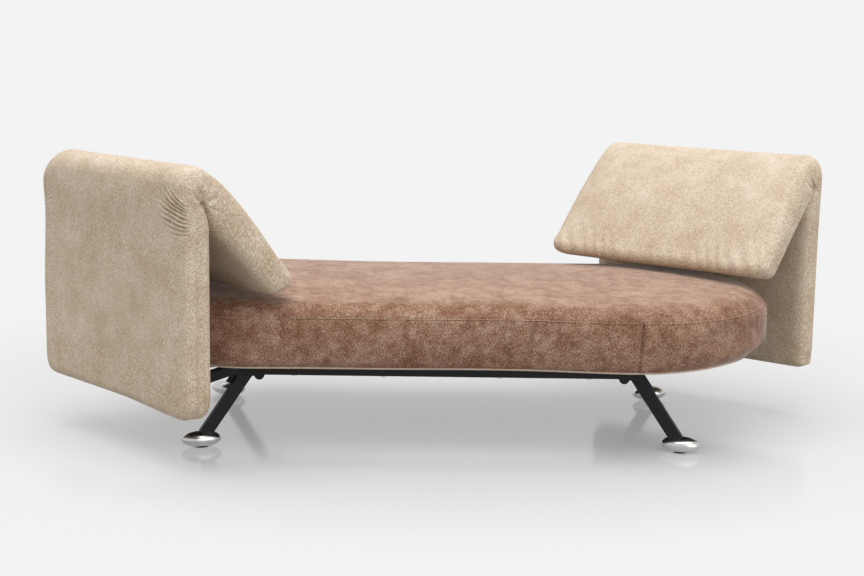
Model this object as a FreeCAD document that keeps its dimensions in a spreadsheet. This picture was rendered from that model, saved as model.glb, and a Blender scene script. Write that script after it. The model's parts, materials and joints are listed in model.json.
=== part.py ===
import FreeCAD, Part

import math
import os

import Sketcher

# Tete-a-tete sofa in millimetres: X along the seat, Y away from the viewer, Z up.
# The origin lies on the floor under the middle of the seat.

doc = FreeCAD.newDocument("tete_a_tete_sofa")
sheet = doc.addObject("Spreadsheet::Sheet", "Dims")

SIZES = {
    # seat
    "pivot_x": 549,
    "seat_radius": 436,
    "seat_base": 253,
    "band_high": 151,
    "top_rise": 38,
    "seat_crown": 9,
    "band_bulge": 5,
    "shoulder_in": 36,
    "deck_edge": 60,
    "deck_thick": 18,
    "dust_thick": 2,
    "dust_inset": 40,
    "piping_radius": 4,
    # base frame
    "rail_inset": 156,
    "rail_wide": 30,
    "rail_high": 44,
    "rail_wall": 2.5,
    "rail_short": 4,
    "cross_wide": 60,
    "cross_wall": 3,
    "knuckle_long": 46,
    "knuckle_drop": 4,
    "lug_radius": 15,
    "lug_back": 14,
    "spigot_long": 40,
    "leg_out": 16,
    "leg_up": 17,
    "leg_wide": 36,
    "leg_thick": 20,
    "foot_out": 136,
    "foot_spread": 40,
    "foot_z": 23,
    "foot_long": 58,
    "foot_broad": 33,
    "foot_half_high": 24,
    "glide_radius": 20,
    "glide_thick": 4,
    "bolt_radius": 4,
    "bolt_head": 7,
    "head_high": 5,
    "hole_gap": 0.2,
    "deck_bolt_in": 170,
    "deck_bolt_end": 119,
    "screw_radius": 3,
    "screw_long": 26,
    "screw_sink": 1,
    "well_gap": 4,
    # swivel
    "left_angle": 42,
    "right_angle": 50,
    "limit_angle": 50,
    "pin_radius": 12,
    "bush_wall": 3,
    "housing_wall": 7,
    "run_gap": 0.05,
    "washer_thick": 2,
    "washer_radius": 32,
    "collar_radius": 20,
    "collar_high": 6,
    "flange_high": 8,
    "hub_radius": 92,
    "hub_thick": 10,
    "boss_radius": 30,
    "arm_wide": 30,
    "arm_high": 28,
    "splay_angle": 21,
    "stop_reach": 78,
    "stop_radius": 5,
    "stop_slack": 0.6,
    "stop_proud": 2,
    "arm_plate_wide": 80,
    "arm_plate_high": 44,
    "arm_plate_thick": 6,
    "plate_bolt_step": 54,
    "plate_room": 1,
    # backs
    "panel_gap": 14,
    "panel_thick": 88,
    "panel_half": 395,
    "panel_drop": 20,
    "panel_crown": 5,
    "panel_edge": 18,
    "ridge_z": 788,
    "ridge_corner": 80,
    "foot_corner": 26,
    "core_thick": 15,
    "core_inset": 60,
    "core_lift": 16,
    "core_below": 49,
    "soft_gap": 0.4,
    "roll_trim": 4,
    # folding flaps
    "fold_angle": 44,
    "flap_thick": 92,
    "flap_reach": 402,
    "tip_slope_angle": 12,
    "tip_front": 25,
    "tip_rear": 30,
    "flap_crown": 14,
    "flap_end": 46,
    "flap_corner": 62,
    "flap_core_thick": 12,
    "flap_core_start": 64,
    "flap_core_tip": 57,
    "flap_core_inset": 65,
    # ridge hinges
    "hinge_inset": 170,
    "hinge_window": 78,
    "barrel_radius": 11,
    "rod_radius": 6,
    "rod_inset": 50,
    "leaf_thick": 5,
    "leaf_wide": 62,
    "leaf_long": 70,
    "barrel_mid": 26,
    "barrel_side": 16,
    "barrel_gap": 0.3,
    "neck_bite": 2,
    "rivet_radius": 3,
}


class Size:
    """A length or angle that knows both its value and the formula that drives it."""

    def __init__(self, text, value):
        self.text = text
        self.value = value

    def __add__(self, other):
        other = as_size(other)
        return Size("(%s + %s)" % (self.text, other.text), self.value + other.value)

    def __radd__(self, other):
        return as_size(other) + self

    def __sub__(self, other):
        other = as_size(other)
        return Size("(%s - %s)" % (self.text, other.text), self.value - other.value)

    def __rsub__(self, other):
        return as_size(other) - self

    def __mul__(self, other):
        other = as_size(other)
        return Size("(%s * %s)" % (self.text, other.text), self.value * other.value)

    def __rmul__(self, other):
        return as_size(other) * self

    def __truediv__(self, other):
        other = as_size(other)
        return Size("(%s / %s)" % (self.text, other.text), self.value / other.value)

    def __neg__(self):
        return Size("(0 - %s)" % self.text, -self.value)


def as_size(item):
    """A plain number as a Size."""
    if isinstance(item, Size):
        return item
    return Size("(%s)" % repr(float(item)), float(item))


def sin(angle):
    return Size("sin(%s)" % angle.text, math.sin(math.radians(angle.value)))


def cos(angle):
    return Size("cos(%s)" % angle.text, math.cos(math.radians(angle.value)))


def tan(angle):
    return Size("tan(%s)" % angle.text, math.tan(math.radians(angle.value)))


def root(item):
    return Size("sqrt(%s)" % item.text, math.sqrt(item.value))


def turn_of(rise, run):
    """The angle whose tangent is rise over run."""
    angle = math.degrees(math.atan2(rise.value, run.value))
    return Size("(atan2(%s; %s) / 1deg)" % (rise.text, run.text), angle)


def bow_radius(chord, rise):
    """Radius of the arc over a chord that stands out by the given rise."""
    return chord * chord / (rise * 8) + rise / 2


for row, (alias, number) in enumerate(SIZES.items(), start=1):
    sheet.set("A%d" % row, alias)
    sheet.set("B%d" % row, str(number))
    sheet.setAlias("B%d" % row, alias)
doc.recompute()


def dim(alias):
    return Size("Dims.%s" % alias, float(SIZES[alias]))


ZERO = as_size(0)
STRAIGHT = FreeCAD.Rotation()
SIDE_VIEW = FreeCAD.Rotation(FreeCAD.Vector(1, 0, 0), 90)
END_VIEW = FreeCAD.Rotation(FreeCAD.Vector(1, 1, 1), 120)
ALONG_X = FreeCAD.Rotation(FreeCAD.Vector(0, 1, 0), 90)
ALONG_Y = FreeCAD.Rotation(FreeCAD.Vector(1, 0, 0), -90)


def bind(item, prop, size):
    item.setExpression(prop, as_size(size).text)


def move(item, spot, rotation=STRAIGHT):
    """Set a fixed turn and a driven place."""
    item.Placement = FreeCAD.Placement(FreeCAD.Vector(), rotation)
    for letter, size in zip("xyz", spot):
        bind(item, "Placement.Base.%s" % letter, size)
    return item


def swing(item, spot, yaw, pitch=ZERO):
    """Set a driven place with a driven yaw about Z and pitch about Y."""
    turn = "rotation(%s; %s; 0)" % (as_size(yaw).text, as_size(pitch).text)
    base = "vector(%s; %s; %s)" % tuple(as_size(size).text for size in spot)
    item.setExpression("Placement", "placement(%s; %s)" % (base, turn))
    return item


def box(name, size, spot):
    """A box with its lowest corner at the given spot."""
    item = doc.addObject("Part::Box", name)
    for prop, value in zip(("Length", "Width", "Height"), size):
        bind(item, prop, value)
    return move(item, spot)


def rod(name, radius, height, spot, rotation=STRAIGHT):
    """A cylinder that starts at the given spot."""
    item = doc.addObject("Part::Cylinder", name)
    bind(item, "Radius", radius)
    bind(item, "Height", height)
    return move(item, spot, rotation)


def fuse(name, items):
    item = doc.addObject("Part::MultiFuse", name)
    item.Shapes = items
    item.Refine = True
    return item


def common(name, items):
    item = doc.addObject("Part::MultiCommon", name)
    item.Shapes = items
    return item


def cut(name, base, tools):
    """Take one or more tools from the base."""
    tool = tools[0]
    if len(tools) > 1:
        tool = doc.addObject("Part::Compound", name + "_tools")
        tool.Links = tools
    item = doc.addObject("Part::Cut", name)
    item.Base = base
    item.Tool = tool
    return item


def group(name, items):
    item = doc.addObject("Part::Compound", name)
    item.Links = items
    return item


def arc_middle(start, end, radius):
    """Middle of the arc that stands out to the right of the way from start to end."""
    across = end - start
    chord = across.Length
    rise = radius - math.sqrt(radius * radius - chord * chord / 4)
    out = FreeCAD.Vector(across.y, -across.x, 0)
    return (start + end) * 0.5 + out * (rise / chord)


def profile(name, corners, bows, rotation):
    """A closed sketch through the corners; bows gives the radius of the arcs by edge."""
    sketch = doc.addObject("Sketcher::SketchObject", name)
    sketch.Placement = FreeCAD.Placement(FreeCAD.Vector(), rotation)
    spots = [FreeCAD.Vector(x.value, y.value, 0) for x, y in corners]
    count = len(corners)
    for edge in range(count):
        start = spots[edge]
        end = spots[(edge + 1) % count]
        if edge in bows:
            middle = arc_middle(start, end, bows[edge].value)
            sketch.addGeometry(Part.Arc(start, middle, end), False)
        else:
            sketch.addGeometry(Part.LineSegment(start, end), False)
    for edge in range(count):
        nearer = 1
        if edge in bows and turns_back(sketch.Geometry[edge], spots[edge]):
            nearer = 2
        after = (edge + 1) % count
        start_of_next = 1
        if after in bows and turns_back(sketch.Geometry[after], spots[after]):
            start_of_next = 2
        sketch.addConstraint(Sketcher.Constraint("Coincident", edge, 3 - nearer, after, start_of_next))
        for kind, size in zip(("DistanceX", "DistanceY"), corners[edge]):
            rule = sketch.addConstraint(Sketcher.Constraint(kind, -1, 1, edge, nearer, size.value))
            sketch.setExpression("Constraints[%d]" % rule, size.text)
        if edge in bows:
            rule = sketch.addConstraint(Sketcher.Constraint("Radius", edge, bows[edge].value))
            sketch.setExpression("Constraints[%d]" % rule, bows[edge].text)
    return sketch


def turns_back(curve, spot):
    """True where the curve ends, rather than starts, at the spot."""
    return curve.EndPoint.distanceToPoint(spot) < curve.StartPoint.distanceToPoint(spot)


def extrude(name, sketch, length):
    """A solid that stands out from a sketch by the same length to both sides."""
    item = doc.addObject("Part::Extrusion", name)
    item.Base = sketch
    item.DirMode = "Normal"
    item.Solid = True
    item.Symmetric = True
    bind(item, "LengthFwd", length)
    return item


def stadium(name, corners, bows):
    """A half section carried round the long seat outline with its two round ends."""
    sketch = profile(name + "_section", corners, bows, END_VIEW)
    side = extrude(name + "_side", sketch, dim("pivot_x") * 2)
    other = doc.addObject("Part::Mirroring", name + "_other")
    other.Source = side
    other.Normal = FreeCAD.Vector(0, 1, 0)
    ends = []
    for label, way in (("right", -1), ("left", 1)):
        end = doc.addObject("Part::Revolution", "%s_%s_end" % (name, label))
        end.Source = sketch
        end.Axis = FreeCAD.Vector(0, 0, way)
        end.Angle = 180
        end.Solid = True
        bind(end, "Placement.Base.x", dim("pivot_x") * -way)
        ends.append(end)
    return fuse(name + "_whole", [side, other] + ends)


def plate_corners(radius, low, high):
    return [(ZERO, low), (radius, low), (radius, high), (ZERO, high)]


nodes = []


def keep(item, label):
    """Give a finished piece its name."""
    item.Label = label
    nodes.append((label, item))
    return item


# Heights of the stack from the rails up to the seat.
rail_top = dim("seat_base")
rail_low = rail_top - dim("rail_high")
deck_low = rail_top + dim("dust_thick")
deck_top = deck_low + dim("deck_thick")
arm_top = rail_low - dim("washer_thick")
arm_low = arm_top - dim("arm_high")
band_top = rail_top + dim("band_high")
seat_height = band_top + dim("top_rise")
panel_base = arm_low - dim("panel_drop")
core_base = panel_base + dim("core_lift")
core_top = dim("ridge_z") - dim("core_below")
leg_top_z = rail_low + dim("leg_up")

# Places along and across the frame and the backs.
rail_y = dim("seat_radius") - dim("rail_inset")
rail_half = dim("pivot_x") - dim("rail_short")
deck_bolt_out = dim("pivot_x") - dim("deck_bolt_end")
leg_top_x = rail_half + dim("leg_out")
foot_x = leg_top_x + dim("foot_out")
foot_y = rail_y + dim("foot_spread")
panel_reach = dim("seat_radius") + dim("panel_gap")
core_half = dim("panel_half") - dim("core_inset")
hinge_t = dim("panel_half") - dim("hinge_inset")
rod_half = dim("panel_half") - dim("rod_inset")
flap_core_end = dim("flap_reach") - dim("flap_core_tip")
flap_core_half = dim("panel_half") - dim("flap_core_inset")

SIDES = (("left", -1), ("right", 1))
CORNERS = (
    ("front_left", -1, -1),
    ("front_right", 1, -1),
    ("rear_left", -1, 1),
    ("rear_right", 1, 1),
)


def rails_and_bolts():
    """Two long box rails, two cross tubes and the bolts that hold the deck."""
    bolts = []
    holes = {-1: [], 1: []}
    reach = dim("rail_high") + dim("dust_thick") + dim("deck_thick")
    for way in (-1, 1):
        for spot in (dim("deck_bolt_in"), deck_bolt_out):
            for end in (-1, 1):
                tag = "%d" % len(bolts)
                place = (spot * end, rail_y * way, rail_low)
                shank = rod("deck_bolt_shank" + tag, dim("bolt_radius"), reach, place)
                under = (place[0], place[1], rail_low - dim("head_high"))
                head = rod("deck_bolt_head" + tag, dim("bolt_head"), dim("head_high"), under)
                bolts.append(fuse("deck_bolt" + tag, [shank, head]))
                hole = rod("deck_hole" + tag, dim("bolt_radius") + dim("hole_gap"), reach, place)
                holes[way].append(hole)
    for label, way in (("front_rail", -1), ("rear_rail", 1)):
        low_y = rail_y * way - dim("rail_wide") / 2
        outer = box(
            label + "_outer",
            (rail_half * 2, dim("rail_wide"), dim("rail_high")),
            (-rail_half, low_y, rail_low),
        )
        wall = dim("rail_wall")
        inner = box(
            label + "_inner",
            (rail_half * 2, dim("rail_wide") - wall * 2, dim("rail_high") - wall * 2),
            (-rail_half, low_y + wall, rail_low + wall),
        )
        keep(cut(label, outer, [inner] + holes[way]), label)
    keep(group("deck_bolts", bolts), "deck_bolts")
    return holes[-1] + holes[1]


def seat_stack(holes):
    """Deck, dust cloth, firm core, side band, crowned top and the piping."""
    deck_radius = dim("seat_radius") - dim("deck_edge")
    well = dim("collar_radius") + dim("well_gap")
    wells = []
    for label, side in SIDES:
        place = (dim("pivot_x") * side, ZERO, rail_top)
        wells.append(rod("well_" + label, well, dim("dust_thick") + dim("deck_thick"), place))
    dust = stadium("dust", plate_corners(dim("seat_radius") - dim("dust_inset"), rail_top, deck_low), {})
    keep(cut("dust_cloth", dust, holes + wells), "dust_cloth")
    deck = stadium("deck", plate_corners(deck_radius, deck_low, deck_top), {})
    keep(cut("seat_deck", deck, holes + wells), "seat_deck")
    keep(stadium("seat_core", plate_corners(deck_radius, deck_top, band_top), {}), "seat_core")
    foot = dim("seat_radius") - dim("band_bulge")
    band_high = band_top - deck_low
    band = [
        (deck_radius, deck_low),
        (foot, deck_low),
        (foot, band_top),
        (deck_radius, band_top),
    ]
    keep(stadium("seat_band", band, {1: bow_radius(band_high, dim("band_bulge"))}), "seat_band")
    shoulder = dim("seat_radius") - dim("shoulder_in")
    crown_low = seat_height
    top = [
        (ZERO, band_top),
        (foot, band_top),
        (shoulder, crown_low),
        (ZERO, crown_low + dim("seat_crown")),
    ]
    run = foot - shoulder
    rise = crown_low - band_top
    side_chord = root(run * run + rise * rise)
    dome = (shoulder * shoulder + dim("seat_crown") * dim("seat_crown")) / (dim("seat_crown") * 2)
    bows = {1: bow_radius(side_chord, side_chord / 6), 2: dome}
    keep(stadium("seat_top", top, bows), "seat_top")
    pipe = dim("piping_radius")
    centre = foot - pipe
    level = deck_low - pipe
    cord = [
        (centre, level - pipe),
        (centre + pipe, level),
        (centre, level + pipe),
        (centre - pipe, level),
    ]
    keep(stadium("seat_piping", cord, {0: pipe, 1: pipe, 2: pipe, 3: pipe}), "seat_piping")


def legs_and_feet():
    """Four splayed bars with rail knuckles, cross bolts, cast feet and glides."""
    bolts = []
    glides = []
    screws = []
    run_x = foot_x - leg_top_x
    run_y = foot_y - rail_y
    drop = leg_top_z - dim("foot_z")
    flat = root(run_x * run_x + run_y * run_y)
    length = root(flat * flat + drop * drop)
    splay = turn_of(run_y, run_x)
    dip = turn_of(drop, flat)
    for label, sx, sy in CORNERS:
        top = (leg_top_x * sx, rail_y * sy, leg_top_z)
        yaw = splay * (sx * sy) + (0 if sx > 0 else 180)
        bolt_x = leg_top_x * sx
        outer_y = rail_y * sy - dim("rail_wide") / 2 - dim("head_high")
        bolt_long = dim("rail_wide") + dim("head_high")
        shank = rod("leg_shank_" + label, dim("bolt_radius"), bolt_long, (bolt_x, outer_y, top[2]), ALONG_Y)
        head = rod("leg_head_" + label, dim("bolt_head"), dim("head_high"), (bolt_x, outer_y, top[2]), ALONG_Y)
        bolts.append(fuse("leg_bolt_" + label, [shank, head]))
        hole = rod(
            "leg_hole_" + label,
            dim("bolt_radius") + dim("hole_gap"),
            bolt_long,
            (bolt_x, outer_y, top[2]),
            ALONG_Y,
        )
        foot_spot = (foot_x * sx, foot_y * sy, ZERO)
        screw_low = (foot_spot[0], foot_spot[1], dim("screw_sink"))
        thread = rod("screw_thread_" + label, dim("screw_radius"), dim("screw_long"), screw_low)
        cap_high = dim("glide_thick") - dim("screw_sink")
        cap = rod("screw_cap_" + label, dim("screw_radius") * 2, cap_high, screw_low)
        screws.append(fuse("foot_screw_" + label, [thread, cap]))
        drill = rod(
            "screw_drill_" + label,
            dim("screw_radius") + dim("hole_gap"),
            dim("screw_long") + dim("screw_sink"),
            foot_spot,
        )
        bar = box(
            "leg_bar_" + label,
            (length, dim("leg_thick"), dim("leg_wide")),
            (ZERO, -dim("leg_thick") / 2, -dim("leg_wide") / 2),
        )
        placed = swing(group("leg_set_" + label, [bar]), top, yaw, dip)
        keep(cut("leg_" + label, placed, [hole, drill]), "leg_" + label)
        inner_x = rail_half * sx
        body_x = inner_x if sx > 0 else inner_x - dim("knuckle_long")
        low_y = rail_y * sy - dim("rail_wide") / 2
        low_z = rail_low - dim("knuckle_drop")
        block = box(
            "knuckle_block_" + label,
            (dim("knuckle_long"), dim("rail_wide"), rail_top - low_z),
            (body_x, low_y, low_z),
        )
        lug = rod(
            "knuckle_lug_" + label,
            dim("lug_radius"),
            dim("rail_wide"),
            (inner_x - dim("lug_back") * sx, low_y, rail_low),
            ALONG_Y,
        )
        sole_x = inner_x - dim("lug_back") if sx > 0 else inner_x
        sole = box(
            "knuckle_sole_" + label,
            (dim("lug_back"), dim("rail_wide"), dim("knuckle_drop")),
            (sole_x, low_y, low_z),
        )
        above = box(
            "knuckle_above_" + label,
            (rail_half * 2, dim("rail_wide"), dim("rail_high")),
            (-rail_half, low_y, rail_low),
        )
        spigot_x = inner_x - dim("spigot_long") if sx > 0 else inner_x
        inset = dim("rail_wall") + dim("hole_gap")
        spigot = box(
            "knuckle_spigot_" + label,
            (dim("spigot_long"), dim("rail_wide") - inset * 2, dim("rail_high") - inset * 2),
            (spigot_x, rail_y * sy - dim("rail_wide") / 2 + inset, rail_low + inset),
        )
        under = cut("knuckle_under_" + label, fuse("knuckle_low_" + label, [lug, sole]), [above])
        solid = fuse("knuckle_solid_" + label, [block, under, spigot])
        keep(cut("knuckle_" + label, solid, [placed, hole]), "knuckle_" + label)
        pebble = doc.addObject("Part::Ellipsoid", "foot_pebble_" + label)
        bind(pebble, "Radius1", dim("foot_half_high"))
        bind(pebble, "Radius2", dim("foot_long"))
        bind(pebble, "Radius3", dim("foot_broad"))
        pebble.Angle1 = -90
        set_pebble = swing(group("foot_set_" + label, [pebble]), (foot_spot[0], foot_spot[1], dim("foot_z")), yaw)
        sole_cut = box(
            "foot_sole_" + label,
            (dim("foot_long") * 4, dim("foot_long") * 4, dim("foot_long")),
            (
                foot_spot[0] - dim("foot_long") * 2,
                foot_spot[1] - dim("foot_long") * 2,
                dim("glide_thick") - dim("foot_long"),
            ),
        )
        keep(cut("foot_" + label, set_pebble, [sole_cut, placed, drill]), "foot_" + label)
        disc = rod("glide_disc_" + label, dim("glide_radius"), dim("glide_thick"), foot_spot)
        sink = rod(
            "glide_sink_" + label,
            dim("screw_radius") * 2 + dim("hole_gap"),
            dim("glide_thick"),
            foot_spot,
        )
        glides.append(cut("glide_" + label, disc, [sink]))
    keep(group("leg_bolts", bolts), "leg_bolts")
    keep(group("foot_glides", glides), "foot_glides")
    keep(group("foot_screws", screws), "foot_screws")


def swivel_seat(label, side):
    """Cross tube with the pivot housing, bush, thrust washer and stop pin."""
    spot_x = dim("pivot_x") * side
    half_y = rail_y - dim("rail_wide") / 2
    wall = dim("cross_wall")
    outer = box(
        "cross_outer_" + label,
        (dim("cross_wide"), half_y * 2, dim("rail_high")),
        (spot_x - dim("cross_wide") / 2, -half_y, rail_low),
    )
    inner = box(
        "cross_inner_" + label,
        (dim("cross_wide") - wall * 2, half_y * 2, dim("rail_high") - wall * 2),
        (spot_x - dim("cross_wide") / 2 + wall, -half_y, rail_low + wall),
    )
    bush_in = dim("pin_radius") + dim("run_gap")
    bush_out = bush_in + dim("bush_wall")
    house_in = bush_out + dim("run_gap")
    house_out = house_in + dim("housing_wall")
    foot = (spot_x, ZERO, rail_low)
    seat = rod("housing_hole_" + label, house_out, dim("rail_high"), foot)
    keep(cut("cross_tube_" + label, outer, [inner, seat]), "cross_tube_" + label)
    tube = rod("housing_tube_" + label, house_out, dim("rail_high"), foot)
    bore = rod("housing_bore_" + label, house_in, dim("rail_high"), foot)
    housing = cut("pivot_housing_" + label, tube, [bore])
    sleeve = rod("bush_sleeve_" + label, bush_out, dim("rail_high"), foot)
    hole = rod("bush_hole_" + label, bush_in, dim("rail_high"), foot)
    bush = cut("pivot_bush_" + label, sleeve, [hole])
    disc = rod("washer_disc_" + label, dim("washer_radius"), dim("washer_thick"), (spot_x, ZERO, arm_top))
    eye = rod("washer_eye_" + label, bush_in + dim("run_gap"), dim("washer_thick"), (spot_x, ZERO, arm_top))
    washer = cut("thrust_washer_" + label, disc, [eye])
    stop_high = dim("washer_thick") + dim("hub_thick") + dim("stop_proud")
    stop_spot = (spot_x, dim("stop_reach") * side, rail_low - stop_high)
    stop = rod("stop_pin_" + label, dim("stop_radius"), stop_high, stop_spot)
    return {"pivot_housings": housing, "pivot_bushes": bush, "thrust_washers": washer, "stop_pins": stop}


def yoke(label, side, yaw):
    """Swivel pin with its collar, and the forked carrier of one back."""
    pivot = (dim("pivot_x") * side, ZERO, ZERO)
    core_n = panel_reach + (dim("panel_thick") - dim("core_thick")) / 2
    plate_n = core_n - dim("arm_plate_thick")
    disc = rod(
        "hub_disc_" + label,
        dim("hub_radius"),
        dim("hub_thick"),
        (ZERO, ZERO, arm_top - dim("hub_thick")),
    )
    boss = rod("hub_boss_" + label, dim("boss_radius"), dim("arm_high"), (ZERO, ZERO, arm_low))
    pieces = [disc, boss]
    limit = box(
        "arm_limit_" + label,
        (panel_reach, dim("panel_half") * 2, dim("arm_high")),
        (plate_n, -dim("panel_half"), arm_low),
    )
    bolts = []
    bolt_holes = []
    for tag, way in (("near", -1), ("far", 1)):
        bar = box(
            "arm_bar_%s_%s" % (tag, label),
            (plate_n / cos(dim("splay_angle")) + dim("arm_wide"), dim("arm_wide"), dim("arm_high")),
            (ZERO, -dim("arm_wide") / 2, arm_low),
        )
        turned = swing(
            group("arm_turn_%s_%s" % (tag, label), [bar]),
            (ZERO, ZERO, ZERO),
            dim("splay_angle") * way,
        )
        pieces.append(cut("arm_%s_%s" % (tag, label), turned, [limit]))
        plate_t = plate_n * tan(dim("splay_angle")) * way
        plate_z = arm_low + dim("arm_high") / 2
        pieces.append(
            box(
                "arm_plate_%s_%s" % (tag, label),
                (dim("arm_plate_thick"), dim("arm_plate_wide"), dim("arm_plate_high")),
                (plate_n, plate_t - dim("arm_plate_wide") / 2, plate_z - dim("arm_plate_high") / 2),
            )
        )
        for step in (-1, 1):
            spot_t = plate_t + dim("plate_bolt_step") / 2 * step
            mark = "%s_%d_%s" % (tag, step + 1, label)
            grip = dim("arm_plate_thick") + dim("core_thick") + dim("head_high")
            shank = rod("plate_shank_" + mark, dim("bolt_radius"), grip, (plate_n, spot_t, plate_z), ALONG_X)
            head = rod(
                "plate_head_" + mark,
                dim("bolt_head"),
                dim("head_high"),
                (plate_n - dim("head_high"), spot_t, plate_z),
                ALONG_X,
            )
            nut = rod(
                "plate_nut_" + mark,
                dim("bolt_head"),
                dim("head_high"),
                (core_n + dim("core_thick"), spot_t, plate_z),
                ALONG_X,
            )
            bolts.append(fuse("plate_bolt_" + mark, [shank, head, nut]))
            bolt_holes.append(
                rod(
                    "plate_hole_" + mark,
                    dim("bolt_radius") + dim("hole_gap"),
                    dim("arm_plate_thick") + dim("core_thick"),
                    (plate_n, spot_t, plate_z),
                    ALONG_X,
                )
            )
    bore = rod("hub_bore_" + label, dim("pin_radius") + dim("run_gap"), dim("arm_high"), (ZERO, ZERO, arm_low))
    slack = turn_of(dim("stop_radius") + dim("stop_slack"), dim("stop_reach"))
    sector = dim("limit_angle") * 2 + slack * 2
    start = 90 - dim("limit_angle") - slack
    rings = []
    for tag, sign in (("out", 1), ("in", -1)):
        ring = rod(
            "slot_%s_%s" % (tag, label),
            dim("stop_reach") + (dim("stop_radius") + dim("stop_slack")) * sign,
            dim("hub_thick"),
            (ZERO, ZERO, arm_top - dim("hub_thick")),
        )
        bind(ring, "Angle", sector)
        rings.append(ring)
    slot = swing(group("slot_turn_" + label, [cut("slot_" + label, rings[0], [rings[1]])]), (ZERO, ZERO, ZERO), start)
    body = cut("yoke_body_" + label, fuse("yoke_solid_" + label, pieces), [bore, slot] + bolt_holes)
    keep(swing(group("yoke_" + label, [body]), pivot, yaw), "yoke_" + label)
    pin = rod(
        "pin_shaft_" + label,
        dim("pin_radius"),
        rail_top + dim("collar_high") - arm_low,
        (pivot[0], ZERO, arm_low),
    )
    flange = rod(
        "pin_flange_" + label,
        dim("collar_radius"),
        dim("flange_high"),
        (pivot[0], ZERO, arm_low - dim("flange_high")),
    )
    keep(fuse("pivot_pin_" + label, [pin, flange]), "pivot_pin_" + label)
    ring = rod("collar_ring_" + label, dim("collar_radius"), dim("collar_high"), (pivot[0], ZERO, rail_top))
    eye = rod("collar_eye_" + label, dim("pin_radius") + dim("run_gap"), dim("collar_high"), (pivot[0], ZERO, rail_top))
    keep(cut("pin_collar_" + label, ring, [eye]), "pin_collar_" + label)
    keep(swing(group("arm_bolts_" + label, bolts), pivot, yaw), "arm_bolts_" + label)
    return bolt_holes


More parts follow.
